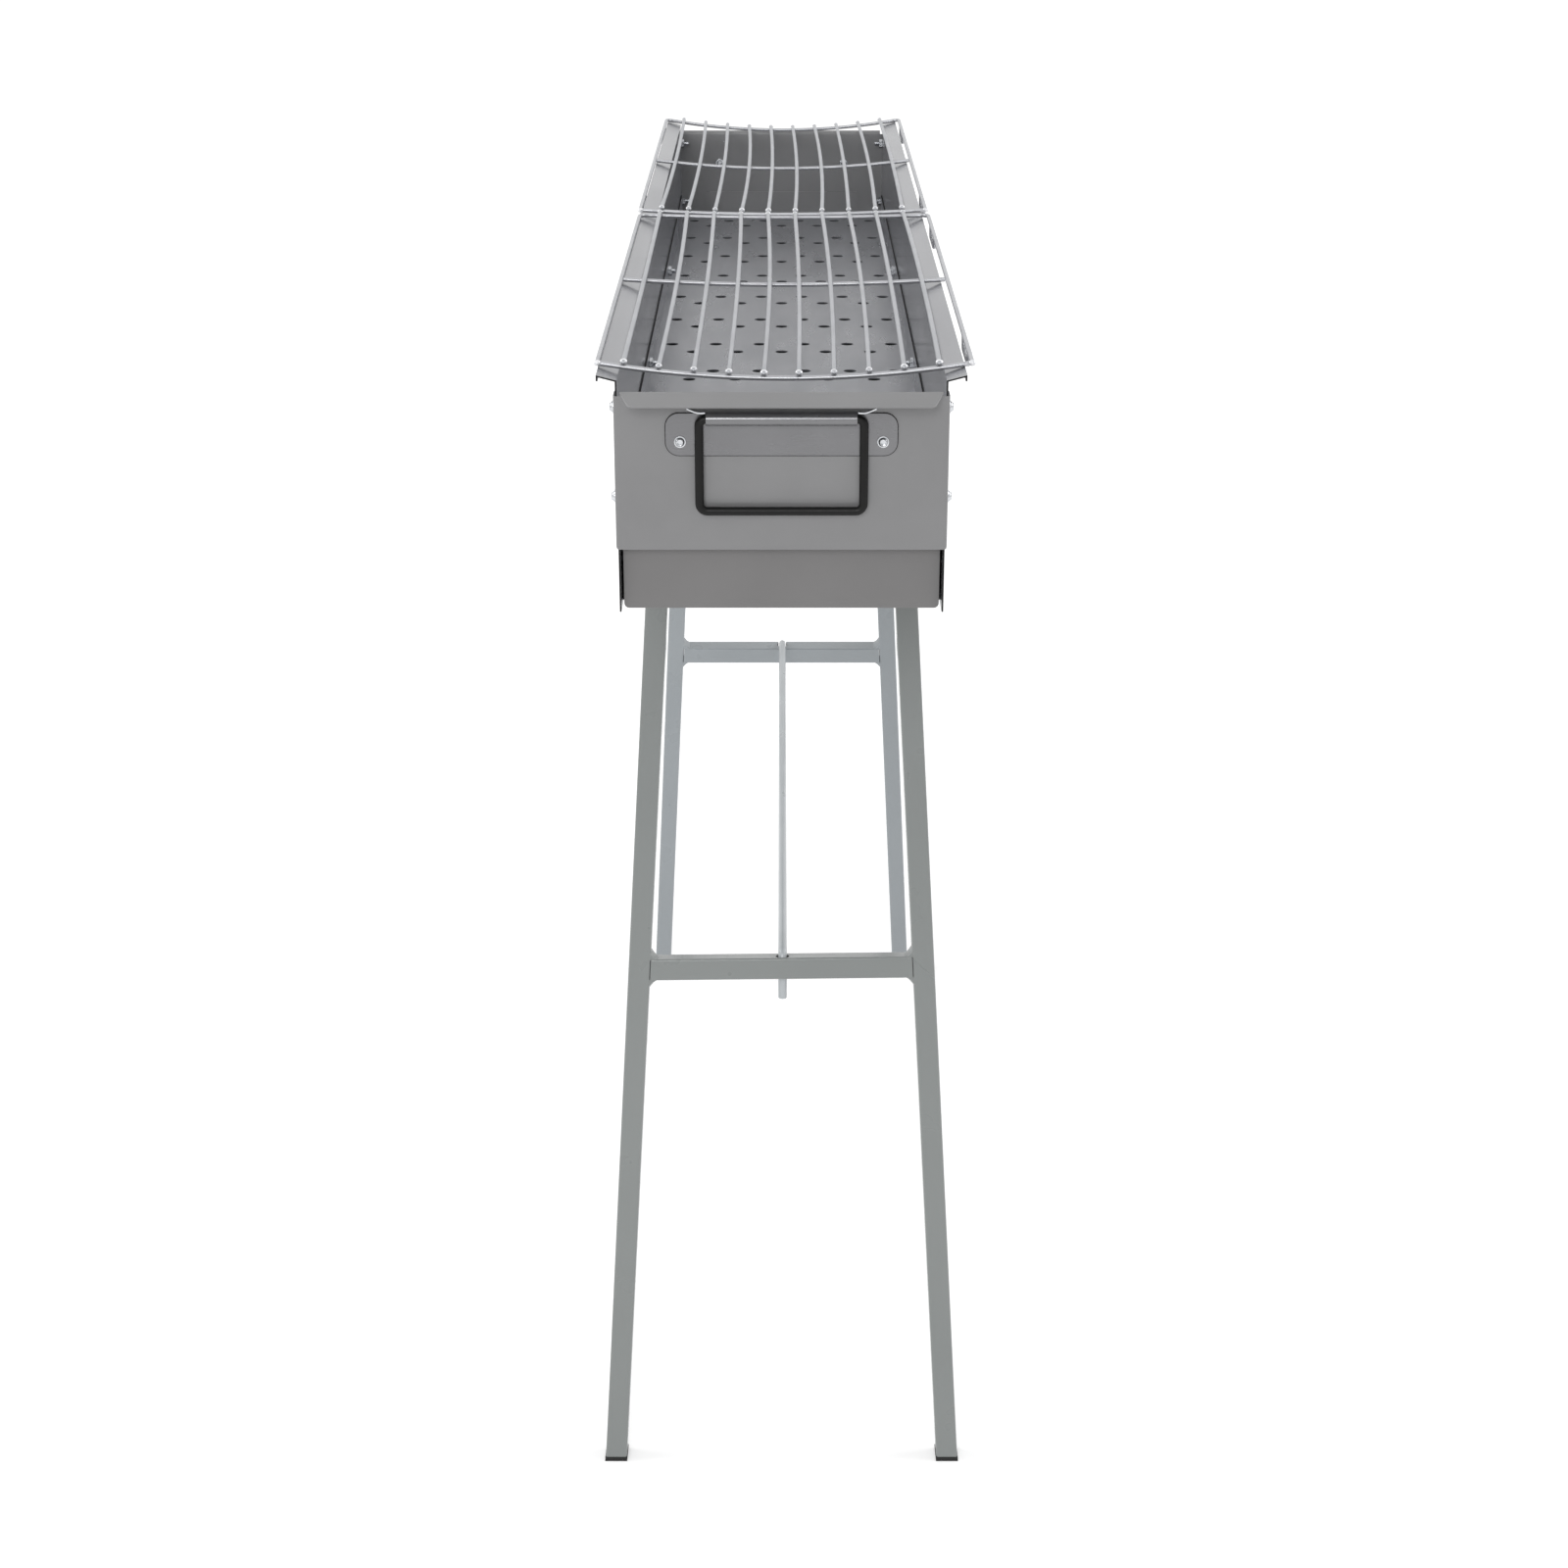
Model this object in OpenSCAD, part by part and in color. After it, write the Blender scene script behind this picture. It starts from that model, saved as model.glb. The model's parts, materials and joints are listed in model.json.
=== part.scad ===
// Folding campfire grill. A long sheet steel trough stands on two tube frames.
// It holds a perforated coal floor and a slide-out ash pan and carries two wire grates.
// Each end has a bail handle, and a hooked tie rod holds the two frames apart.
// Units are millimetres. X is the width, Y the length and Z is up. The origin
// lies on the ground under the middle of the trough. The front is towards -Y.

/* [Trough] */
// Length of the trough over its end panels
trough_l = 1050; // [900:10:1300]
// Outside width of the trough at its lower edge
low_w = 189; // [176:1:220]
// Outside width of the trough just under its flanges
top_w = 189; // [180:1:224]
// Height of the trough's lower edge above the ground
trough_z = 672; // [600:1:760]
// Height of the side panels from the lower edge to the flange bend
side_h = 136.5; // [125:0.5:160]
// Thickness of the trough's sheet steel
sheet = 1; // [0.8:0.1:1.5]
// How far each side flange reaches outwards
flange_w = 10.7; // [8:0.1:14]
// How far each side flange rises towards its edge
flange_rise = 2.8; // [1:0.1:4]
// Depth of the hem turned down at the edge of a flange
flange_hem = 3.5; // [2.5:0.1:5]
// Width of the ledge folded inwards along the lower edge
ledge_w = 10; // [8:0.5:14]
// How far the ledge stops short of each end of the trough
ledge_end = 25; // [20:1:60]

/* [End panels] */
// Height of an end panel
end_h = 92.2; // [80:0.1:95]
// How far the end panel's lower edge lies above the trough's lower edge
end_rise = 38.2; // [36:0.1:42]
// Depth of the end panel's returns along the sides
return_d = 14; // [14:0.5:25]
// Gap between a return and the side panel
return_gap = 0.2; // [0.1:0.05:0.4]
// Radius of the end panel's lower corners
end_corner_r = 5; // [2:0.5:10]
// How far the lip at the top reaches outwards
lip_out = 15; // [10:0.5:25]
// How far the lip drops towards its edge
lip_drop = 6.2; // [2:0.2:10]
// Width of the lip where it meets the end panel
lip_w = 183; // [150:1:184]
// How much narrower each end of the lip is at its edge
lip_taper = 4.7; // [2:0.1:10]

/* [Coal floor] */
// Height of the floor above the trough's lower edge
floor_rise = 56; // [50:0.5:60]
// Height of the edges turned up round the floor
floor_edge_h = 19.5; // [16:0.5:26]
// Diameter of the air holes
hole_d = 9; // [6:0.5:12]
// Length at the two ends of the floor that lies outside the outer pairs of hole rows
row_margin = 164; // [150:1:240]
// Distance between the two rows of a pair
row_gap = 26; // [18:0.5:34]
// Distance between holes in a row
hole_pitch = 32.4; // [24:0.2:34]
// Number of holes in the first row of a pair, which has one fewer than the second
row_holes = 5; // [3:1:5]
// Number of row pairs
row_pairs = 11; // [5:2:11]
// Lengthways offset of the middle pair of rows
row_shift = 23.3; // [0:0.1:24]
// Clearance between the floor and the panels round it
floor_gap = 0.15; // [0.1:0.05:0.3]

/* [Ash pan] */
// Height of the pan's side walls
pan_h = 32; // [20:0.5:33]
// Clearance at each side of the pan
pan_side_gap = 2; // [1:0.1:4]
// Clearance at each side of the pan's end plates
plate_side_gap = 1.3; // [0.4:0.1:2]
// Gap between the pan's bottom and the ledges
pan_lift = 0.3; // [0.2:0.05:0.5]
// How far the pan's front plate is set back from the end panel
plate_back = 8; // [6:0.5:14]
// Gap between the pan's plates and the end panel above them
plate_gap = 0.7; // [0.5:0.1:1.5]
// Radius of the plates' lower corners
plate_corner_r = 3; // [2:0.5:10]

/* [Handles] */
// Width of the handle plate
handle_w = 133; // [126:1:150]
// Height of the handle plate
handle_h = 25.3; // [22:0.1:32]
// Corner radius of the handle plate
handle_r = 8; // [4:0.5:10]
// Distance between the handle plate's two screws
handle_screw_pitch = 115.8; // [112:0.2:118]
// Diameter of a handle screw's head
handle_screw_head_d = 7; // [6:0.2:8]
// How far a handle screw shows beyond its nut
handle_screw_tail = 3; // [1:0.5:6]
// Height of the handle screws above the plate's lower edge
handle_screw_rise = 8.4; // [6:0.2:12]
// How far the handle plate's lower edge lies above the end panel's
handle_rise = 55.7; // [40:0.1:58]
// Diameter of the bail wire
bail_d = 5; // [4:0.1:6]
// Distance between the middles of the bail's arms
bail_w = 94; // [84:1:98]
// Drop of the bail's grip below its axis
bail_drop = 53.8; // [45:0.2:60]
// Bend radius of the bail beside its sleeve
bail_top_r = 3.8; // [3.2:0.1:6]
// Bend radius of the bail beside its grip
bail_low_r = 8; // [5:0.5:14]
// Radial clearance of the bail wire in its sleeve
sleeve_fit = 0.08; // [0.02:0.01:0.1]
// Wall of the rolled sleeve
sleeve_wall = 1.02; // [0.8:0.02:1.4]
// Gap between an end of the sleeve and the bend beside it
sleeve_end_gap = 0.2; // [0.1:0.1:1]
// Gap between a hanging bail and its plate
bail_gap = 0.4; // [0.3:0.05:1]

/* [Leg frames] */
// Outside size of the square tube
tube = 15; // [12:0.5:18]
// Wall of the square tube
tube_wall = 1.2; // [1:0.1:2]
// Distance of the leg pivots from the ends of the trough
pivot_in = 244; // [200:1:280]
// Drop of the leg pivots below the trough's lower edge
pivot_drop = 17; // [15:0.5:24]
// How far the feet stand lengthways outside their pivots
foot_out = 125; // [90:1:160]
// Sideways distance of the feet from the middle of the trough
foot_x = 118.2; // [100:0.5:140]
// Height of the crossbars above the ground
crossbar_z = 355; // [320:1:380]
// How far a leg's tube reaches above its pivot
leg_head = 10; // [8:0.5:11]
// Height of a foot cap under its tube
cap_h = 3; // [2:0.5:6]
// How far a foot cap stands proud of its tube
cap_proud = 0.4; // [0.1:0.1:1]
// How far a foot cap's plug reaches into its tube
cap_plug_h = 12; // [8:1:20]
// Gap between a leg and its bracket
leg_side_gap = 2; // [1.5:0.1:3]

/* [Hinge brackets] */
// Thickness of the angle bracket
bracket_t = 2; // [1.5:0.1:3]
// Length of the bracket along the trough
bracket_l = 50; // [40:1:70]
// Depth of the bracket's web below the trough
bracket_h = 32; // [30:0.5:40]
// Width of the bracket's flange
bracket_w = 20.7; // [18:0.1:30]
// Corner radius of the bracket's web
bracket_r = 8; // [4:0.5:12]
// Gap between the bracket's web and the side of the trough
bracket_inset = 1.8; // [0:0.1:3]
// Diameter of the pivot bolts
pivot_d = 6; // [5:0.5:8]
// Radial clearance of a pivot bolt in its holes
pivot_fit = 0.05; // [0.02:0.01:0.1]
// Diameter of a pivot bolt's head
pivot_head_d = 12; // [10:0.5:14]
// Height of a pivot bolt's head
pivot_head_h = 3.5; // [2.5:0.1:4]
// Width across the flats of a pivot nut
pivot_nut_af = 10; // [9:0.5:13]
// Height of a pivot nut
pivot_nut_h = 5; // [4:0.5:7]
// Gap between a leg and its pivot nut
pivot_nut_gap = 0.7; // [0.5:0.1:1]
// How far a pivot bolt shows beyond its nut
pivot_tail = 2; // [1:0.5:4]

/* [Tie rod] */
// Diameter of the tie rod
rod_d = 6; // [5:0.5:6.5]
// Gap between the rod's bends and the edges of the holes that they rest on
rod_gap = 0.3; // [0.2:0.05:0.5]
// Bend radius of the rod's hooked ends
rod_bend_r = 6; // [5.5:0.5:6.5]
// Radial clearance of the rod in its holes
rod_hole_gap = 1.7; // [1.5:0.1:2]
// Clearance at each side of the rod in the rear crossbar's slot
rod_slot_gap = 0.5; // [0.4:0.1:1.4]
// Place of the rod across the grill
rod_x = 0.7; // [-6:0.1:6]
// How far the rod shows below the front crossbar
rod_front_tail = 15; // [8:0.5:20]
// How far the rod shows below the rear crossbar
rod_rear_tail = 13; // [8:0.5:20]

/* [Grates] */
// How far the middle of a rail lies outside the edge of its flange
rail_out = 0.8; // [0:0.1:2]
// Distance of the front grate from the front end of the trough
front_grate_in = 22; // [5:1:40]
// Distance of the rear grate from the rear end of the trough
rear_grate_in = 5; // [2:1:40]
// Space between the two grates
grate_space = 19; // [5:1:40]
// Diameter of the grate's frame wire
frame_d = 3; // [2.5:0.1:4]
// Diameter of the grate's bars and cross wires
bar_d = 2.5; // [2:0.1:3]
// Number of bars along a grate
bar_count = 10; // [6:1:12]
// Distance between bars
bar_pitch = 20.1; // [16:0.1:20.5]
// Corner radius of the frame wire
grate_r = 12; // [8:0.5:20]
// Sag of the grate across its middle
grate_sag = 8; // [3:0.1:8.2]
// Gap between the rails and the edges of the flanges
grate_gap = 0.6; // [0.3:0.1:1]
// Sideways shift of the front grate
front_grate_x = 0.8; // [0:0.1:0.8]
// Gap between a foot wire and the edge of its flange
foot_side_gap = 0.3; // [0.3:0.1:1]
// Length of a foot wire along the rail
foot_l = 45; // [30:1:60]
// Drop of a foot wire below its rail
foot_drop = 10; // [8:0.5:14]
// Bend radius of a foot wire
foot_bend_r = 4; // [3:0.5:5]
// Distance between the middles of the two foot wires on a rail
foot_pitch = 380; // [200:5:400]

/* [Fasteners] */
// Diameter of the small screws
screw_d = 4; // [3:0.5:5]
// Clearance of a small screw in its hole, over the diameter
screw_fit = 0.3; // [0.2:0.1:0.6]
// Diameter of a small screw's head
screw_head_d = 8; // [7:0.2:9]
// Height of a small screw's head
screw_head_h = 2.5; // [1.8:0.1:3]
// Width across the flats of a small nut
nut_af = 7; // [7:0.5:8]
// Height of a small nut
nut_h = 3; // [2:0.2:4]
// How far a small screw shows beyond its nut
screw_tail = 3; // [1:0.5:6]
// Distance of the corner screws from the end of the trough
corner_in = 8; // [7:0.5:8]
// Height of the upper corner screws above the trough's lower edge
corner_high = 120.6; // [110:0.2:122]
// Height of the lower corner screws above the trough's lower edge
corner_low = 68; // [62:0.5:80]
// Distance between the two floor screws of a side
floor_screw_pitch = 340; // [200:5:600]
// Drop of the floor screws below the top of the floor's turned-up edges
floor_screw_drop = 7.5; // [5:0.5:10]

/* [Hidden] */
$fn = 48;

FRONT = -1;
REAR = 1;
LEFT = -1;
RIGHT = 1;
// Seam left between separate pieces that touch
seam = 0.02;
// Length by which a cut runs past what it cuts
past = 1;
// Steps of the grate's wires round a corner and across a bow
corner_steps = 6;
bow_steps = 12;

half_l = trough_l / 2;
low_hw = low_w / 2;
top_hw = top_w / 2;
rim_z = trough_z + side_h;
flange_x = top_hw + flange_w;
flange_z = rim_z + flange_rise + sheet;
end_z = trough_z + end_rise;
end_top_z = end_z + end_h;
floor_z = trough_z + floor_rise;
hole_r = (screw_d + screw_fit) / 2;
row_pitch = (trough_l - row_margin) / (row_pairs - 1);

pivot_y = half_l - pivot_in;
pivot_z = trough_z - pivot_drop;
foot_y = pivot_y + foot_out;
lean = atan(foot_out / pivot_z);
web_x = low_hw - bracket_inset;
leg_x = web_x - bracket_t - leg_side_gap - tube / 2;
leg_run = pivot_z / cos(lean);
splay = atan((foot_x - leg_x) / leg_run);
bar_run = (pivot_z - crossbar_z) / cos(lean);
crossbar_y = pivot_y + (pivot_z - crossbar_z) * tan(lean);
crossbar_rise = tube / 2 * (cos(lean) + sin(lean));
rod_hole_r = rod_d / 2 + rod_hole_gap;
rod_slot_w = rod_d + 2 * rod_slot_gap;
hole_edge_z = crossbar_z + (tube / 2 - rod_hole_r * sin(lean)) / cos(lean);
rod_inner_r = rod_bend_r - rod_d / 2 - rod_gap;
rod_z = hole_edge_z - sqrt(pow(rod_inner_r, 2) - pow(rod_bend_r - rod_hole_r, 2)) + rod_bend_r;
leg_reach = leg_head + leg_run / cos(splay) + tube;

handle_z = end_z + handle_rise;
handle_screw_z = handle_z + handle_screw_rise;
sleeve_r = bail_d / 2 + sleeve_fit + sleeve_wall;
sleeve_z = handle_z + handle_h - sleeve_r + sheet / 2;
sleeve_y = half_l + sheet + bail_gap + bail_d / 2;
sleeve_hl = bail_w / 2 - bail_top_r - sleeve_end_gap;

pan_z = trough_z + sheet + pan_lift;
pan_hw = low_hw - sheet - pan_side_gap;
plate_y = half_l - plate_back;
plate_top_z = end_z - plate_gap;
plate_hw = low_hw - sheet - plate_side_gap;

rail_x = flange_x + rail_out;
rail_z = flange_z + grate_gap + frame_d / 2;
foot_wire_x = flange_x + front_grate_x + foot_side_gap + bar_d / 2;
grate_l = (trough_l - front_grate_in - rear_grate_in - grate_space) / 2;
front_grate_y = front_grate_in + grate_l / 2 - half_l;
rear_grate_y = half_l - rear_grate_in - grate_l / 2;

// Outside half width of the trough at height z
function wall_x(z) = low_hw + (top_hw - low_hw) * (z - trough_z) / side_h;

// Height of the middle of the grate's frame wire at the distance x from its middle line
function grate_z(x) = rail_z - grate_sag * (1 - pow(x / rail_x, 2));

function unit(v) = v / norm(v);

// Corners of a ring of radius r round p, square to the direction d
function ring(p, d, r, n) =
    let (u = unit(cross(d, [0, 0, 1])), v = cross(u, d))
    [for (k = [0:n - 1]) p + r * (cos(360 * k / n) * u + sin(360 * k / n) * v)];

// Stands a shape drawn in X and Z upright and gives it the depth d, centred on Y
module upright(d) {
    rotate([90, 0, 0])
        linear_extrude(height = d, center = true)
            children();
}

// Carries a piece drawn for the right to the side s, which is LEFT or RIGHT
module to_side(s) {
    mirror([s == LEFT ? 1 : 0, 0, 0])
        children();
}

// Carries a piece drawn for the rear to the end e, which is FRONT or REAR
module to_end(e) {
    mirror([0, e == FRONT ? 1 : 0, 0])
        children();
}

// Screw along Z with its domed head above z = 0 and its shank below
module screw(head_d, head_h, shank_d, length) {
    dome_r = (pow(head_d / 2, 2) + pow(head_h, 2)) / (2 * head_h);
    intersection() {
        translate([0, 0, head_h - dome_r])
            sphere(r = dome_r);
        cylinder(d = head_d, h = head_h);
    }
    translate([0, 0, -length])
        cylinder(d = shank_d, h = length + head_h / 2);
}

// Hexagon nut on Z from z = 0 upwards
module nut(af, h, bore_d) {
    difference() {
        cylinder(d = af / cos(30), h = h, $fn = 6);
        translate([0, 0, -past])
            cylinder(d = bore_d, h = h + 2 * past);
    }
}

// Quarter bend of a wire in X and Z, from straight up at +X to level at the top
module wire_bend(r, d) {
    rotate([90, 0, 0])
        rotate_extrude(angle = 90)
            translate([r, 0])
                circle(d = d, $fn = 24);
}

// Straight wire along X, centred
module wire_x(l, d) {
    rotate([0, 90, 0])
        cylinder(d = d, h = l, center = true, $fn = 24);
}

// Wire swept along points, as one closed ring or as an open length with flat ends
module swept_wire(points, d, closed) {
    n = 8;
    m = len(points);
    last = closed ? m - 1 : m - 2;
    directions = [for (i = [0:m - 1])
        let (a = closed ? (i + m - 1) % m : max(i - 1, 0))
        let (b = closed ? (i + 1) % m : min(i + 1, m - 1))
        unit(points[b] - points[a])];
    corners = [for (i = [0:m - 1]) each ring(points[i], directions[i], d / 2, n)];
    sides = [for (i = [0:last], k = [0:n - 1])
        let (j = (i + 1) % m, l = (k + 1) % n)
        each [[i * n + k, i * n + l, j * n + l], [i * n + k, j * n + l, j * n + k]]];
    caps = closed ? [] : [for (k = [1:n - 2])
        each [[0, k + 1, k], [(m - 1) * n, (m - 1) * n + k, (m - 1) * n + k + 1]]];
    polyhedron(points = corners, faces = concat(sides, caps), convexity = 6);
}

// Places its children at each corner screw of one end, on the right-hand side
module at_corner_screws(e) {
    for (z = [trough_z + corner_low, trough_z + corner_high])
        translate([0, e * (half_l - corner_in), z])
            children();
}

// Lengthways places of the floor screws
floor_screw_ys = [for (e = [FRONT, REAR]) e * floor_screw_pitch / 2];
floor_screw_z = floor_z + floor_edge_h - floor_screw_drop;

// Sheet of one side of the trough, drawn for the right
module side_sheet() {
    slant = flange_rise / flange_w;
    wall = [[low_hw - sheet, trough_z], [low_hw - sheet, trough_z + sheet],
        [top_hw - sheet, rim_z + sheet - sheet * slant], [flange_x, flange_z],
        [flange_x, flange_z - flange_hem], [flange_x - sheet, flange_z - flange_hem],
        [flange_x - sheet, flange_z - sheet - sheet * slant], [top_hw, rim_z],
        [low_hw, trough_z]];
    difference() {
        union() {
            upright(trough_l - 2 * sheet - 2 * return_gap)
                polygon(wall);
            translate([low_hw - ledge_w, -half_l + ledge_end, trough_z])
                cube([ledge_w - sheet / 2, trough_l - 2 * ledge_end, sheet]);
        }
        for (e = [FRONT, REAR])
            at_corner_screws(e)
                side_hole();
        for (y = floor_screw_ys)
            translate([0, y, floor_screw_z])
                side_hole();
    }
}

// Screw hole along X through the right-hand side
module side_hole() {
    translate([low_hw / 2, 0, 0])
        rotate([0, 90, 0])
            cylinder(r = hole_r, h = low_hw);
}

module side_panel_left() {
    color("#848689")
        to_side(LEFT)
            side_sheet();
}

module side_panel_right() {
    color("#848689")
        side_sheet();
}

// End panel with its returns and lip, drawn for the rear
module end_sheet() {
    skin = return_gap + sheet;
    low_x = wall_x(end_z) + skin;
    top_x = wall_x(end_top_z) + skin;
    lip_low = sheet / cos(atan(lip_drop / lip_out));
    difference() {
        union() {
            translate([0, half_l - sheet / 2, 0])
                upright(sheet)
                    rounded_plate(low_x, top_x);
            for (s = [LEFT, RIGHT])
                to_side(s)
                    translate([0, half_l - return_d / 2, 0])
                        upright(return_d)
                            difference() {
                                rounded_plate(low_x, top_x);
                                polygon([[0, end_z - past],
                                    [wall_x(end_z - past) + return_gap, end_z - past],
                                    [wall_x(end_top_z + past) + return_gap, end_top_z + past],
                                    [0, end_top_z + past]]);
                                translate([-top_x * 2, end_z - past])
                                    square([top_x * 2, end_h + 2 * past]);
                            }
            intersection() {
                rotate([90, 0, 90])
                    linear_extrude(height = top_x * 2, center = true)
                        polygon([[half_l - sheet, end_top_z],
                            [half_l + lip_out, end_top_z - lip_drop],
                            [half_l + lip_out, end_top_z - lip_drop - lip_low],
                            [half_l - sheet, end_top_z - lip_low]]);
                translate([0, 0, end_z])
                    linear_extrude(height = end_h + past)
                        polygon([[-lip_w / 2, half_l - sheet], [lip_w / 2, half_l - sheet],
                            [lip_w / 2, half_l + lip_out / 3],
                            [lip_w / 2 - lip_taper, half_l + lip_out],
                            [lip_taper - lip_w / 2, half_l + lip_out],
                            [-lip_w / 2, half_l + lip_out / 3]]);
            }
        }
        for (s = [LEFT, RIGHT])
            to_side(s)
                at_corner_screws(REAR)
                    side_hole();
        handle_holes();
    }
}

// Outline of an end panel, with its lower corners rounded
module rounded_plate(low_x, top_x) {
    r = end_corner_r;
    intersection() {
        polygon([[-low_x, end_z], [low_x, end_z], [top_x, end_top_z - sheet / 2],
            [-top_x, end_top_z - sheet / 2]]);
        union() {
            for (s = [LEFT, RIGHT])
                translate([s * (low_x - r), end_z + r])
                    circle(r = r);
            translate([-top_x, end_z + r])
                square([2 * top_x, end_h]);
            translate([-low_x + r, end_z])
                square([2 * (low_x - r), r + past]);
        }
    }
}

// The two holes for the handle screws, through the rear end panel and its plate
module handle_holes() {
    for (s = [LEFT, RIGHT])
        translate([s * handle_screw_pitch / 2, half_l, handle_screw_z])
            rotate([90, 0, 0])
                cylinder(r = hole_r, h = 10 * sheet, center = true);
}

module end_panel_front() {
    color("#8a8a8b")
        to_end(FRONT)
            end_sheet();
}

module end_panel_rear() {
    color("#8a8a8b")
        end_sheet();
}

// Half width of the floor, which clears the walls where they stand closest, and half length
floor_hw = min(wall_x(floor_z - sheet), wall_x(floor_z + floor_edge_h)) - sheet - floor_gap;
floor_hl = half_l - sheet - floor_gap;

module perforated_floor() {
    color("#5f6064")
        difference() {
            translate([-floor_hw, -floor_hl, floor_z - sheet])
                cube([2 * floor_hw, 2 * floor_hl, sheet]);
            for (i = [0:row_pairs - 1], row = [0, 1])
                air_row(row_shift + (i - (row_pairs - 1) / 2) * row_pitch
                    + (row - 0.5) * row_gap, row_holes + row);
        }
}

// Edges turned up round the floor, cut away at its corners to clear the corner screws
module floor_edges() {
    notch = 2 * corner_in + nut_af;
    color("#5f6064") {
        for (s = [LEFT, RIGHT])
            to_side(s)
                difference() {
                    translate([floor_hw - sheet, -half_l + notch, floor_z])
                        cube([sheet, trough_l - 2 * notch, floor_edge_h]);
                    for (y = floor_screw_ys)
                        translate([0, y, floor_screw_z])
                            side_hole();
                }
        for (e = [FRONT, REAR])
            to_end(e)
                translate([-floor_hw + notch, floor_hl - sheet, floor_z])
                    cube([2 * (floor_hw - notch), sheet, floor_edge_h]);
    }
}

// Row of air holes across the floor at the place y
module air_row(y, count) {
    for (k = [0:count - 1])
        translate([(k - (count - 1) / 2) * hole_pitch, y, floor_z - sheet - past])
            cylinder(d = hole_d, h = sheet + 2 * past, $fn = 24);
}

// Plate that carries a bail, drawn for the rear
module handle_sheet() {
    hw = handle_w / 2;
    difference() {
        union() {
            translate([0, half_l + sheet / 2, 0])
                upright(sheet)
                    difference() {
                        translate([-hw, handle_z])
                            square([handle_w, handle_h]);
                        for (s = [LEFT, RIGHT], v = [0, 1])
                            translate([s * hw, handle_z + v * handle_h])
                                difference() {
                                    square(2 * handle_r, center = true);
                                    translate([-s * handle_r, (1 - 2 * v) * handle_r])
                                        circle(r = handle_r);
                                }
                    }
            translate([0, sleeve_y, sleeve_z])
                rotate([0, 90, 0])
                    cylinder(r = sleeve_r, h = 2 * sleeve_hl, center = true);
        }
        translate([0, sleeve_y, sleeve_z])
            rotate([0, 90, 0])
                cylinder(r = bail_d / 2 + sleeve_fit, h = bail_w, center = true);
        translate([-hw, half_l - past, handle_z])
            cube([handle_w, past, handle_h + past]);
        handle_holes();
    }
}

module handle_plate_front() {
    color("#858586")
        to_end(FRONT)
            handle_sheet();
}

module handle_plate_rear() {
    color("#858586")
        handle_sheet();
}

// Two screws of a handle plate, drawn for the rear
module handle_screws() {
    for (s = [LEFT, RIGHT])
        translate([s * handle_screw_pitch / 2, half_l + sheet + seam, handle_screw_z])
            rotate([-90, 0, 0])
                screw(handle_screw_head_d, screw_head_h, screw_d,
                    2 * sheet + nut_h + handle_screw_tail);
}

module handle_screws_front() {
    color("#b9bbbd")
        to_end(FRONT)
            handle_screws();
}

module handle_screws_rear() {
    color("#b9bbbd")
        handle_screws();
}

// Two nuts of a handle plate, drawn for the rear
module handle_nuts() {
    for (s = [LEFT, RIGHT])
        translate([s * handle_screw_pitch / 2, half_l - sheet - seam, handle_screw_z])
            rotate([90, 0, 0])
                nut(nut_af, nut_h, screw_d + 4 * seam);
}

module handle_nuts_front() {
    color("#b9bbbd")
        to_end(FRONT)
            handle_nuts();
}

module handle_nuts_rear() {
    color("#b9bbbd")
        handle_nuts();
}

// Screw through the right-hand side at the height z, with the skin of a return or none
module side_screw(z, skin) {
    head_x = wall_x(z + screw_head_d / 2) + skin + seam;
    translate([head_x, 0, 0])
        rotate([0, 90, 0])
            screw(screw_head_d, screw_head_h, screw_d, skin + 2 * sheet + nut_h + screw_tail);
}

// Nut on the inside of the right-hand side at the height z, behind the thickness given
module side_nut(z, thickness) {
    translate([wall_x(z - nut_af / 2) - thickness - seam, 0, 0])
        rotate([0, -90, 0])
            nut(nut_af, nut_h, screw_d + 4 * seam);
}

// Corner screws of both sides at one end
module corner_bolts(e) {
    for (s = [LEFT, RIGHT], rise = [corner_low, corner_high])
        to_side(s)
            translate([0, e * (half_l - corner_in), trough_z + rise])
                side_screw(trough_z + rise, return_gap + sheet);
}

module corner_bolts_front() {
    color("#b9bbbd")
        corner_bolts(FRONT);
}

module corner_bolts_rear() {
    color("#b9bbbd")
        corner_bolts(REAR);
}

// Corner nuts of both sides at one end
module corner_nuts(e) {
    for (s = [LEFT, RIGHT], rise = [corner_low, corner_high])
        to_side(s)
            translate([0, e * (half_l - corner_in), trough_z + rise])
                side_nut(trough_z + rise, sheet);
}

module corner_nuts_front() {
    color("#b9bbbd")
        corner_nuts(FRONT);
}

module corner_nuts_rear() {
    color("#b9bbbd")
        corner_nuts(REAR);
}

module floor_bolts() {
    color("#b9bbbd")
        for (s = [LEFT, RIGHT], y = floor_screw_ys)
            to_side(s)
                translate([0, y, floor_screw_z])
                    side_screw(floor_screw_z, 0);
}

module floor_nuts() {
    inside = wall_x(floor_screw_z - nut_af / 2) - floor_hw + sheet;
    color("#b9bbbd")
        for (s = [LEFT, RIGHT], y = floor_screw_ys)
            to_side(s)
                translate([0, y, floor_screw_z])
                    side_nut(floor_screw_z, inside);
}

// Two hinge brackets of one end
module hinge_brackets(e) {
    for (s = [LEFT, RIGHT])
        to_side(s)
            translate([0, e * pivot_y, 0])
                difference() {
                    union() {
                        translate([web_x - bracket_w, -bracket_l / 2, trough_z - bracket_t])
                            cube([bracket_w, bracket_l, bracket_t]);
                        translate([web_x - bracket_t, 0, trough_z - bracket_h])
                            rotate([90, 0, 90])
                                linear_extrude(height = bracket_t)
                                    bracket_web();
                    }
                    translate([0, 0, pivot_z])
                        pivot_bore();
                }
}

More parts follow.
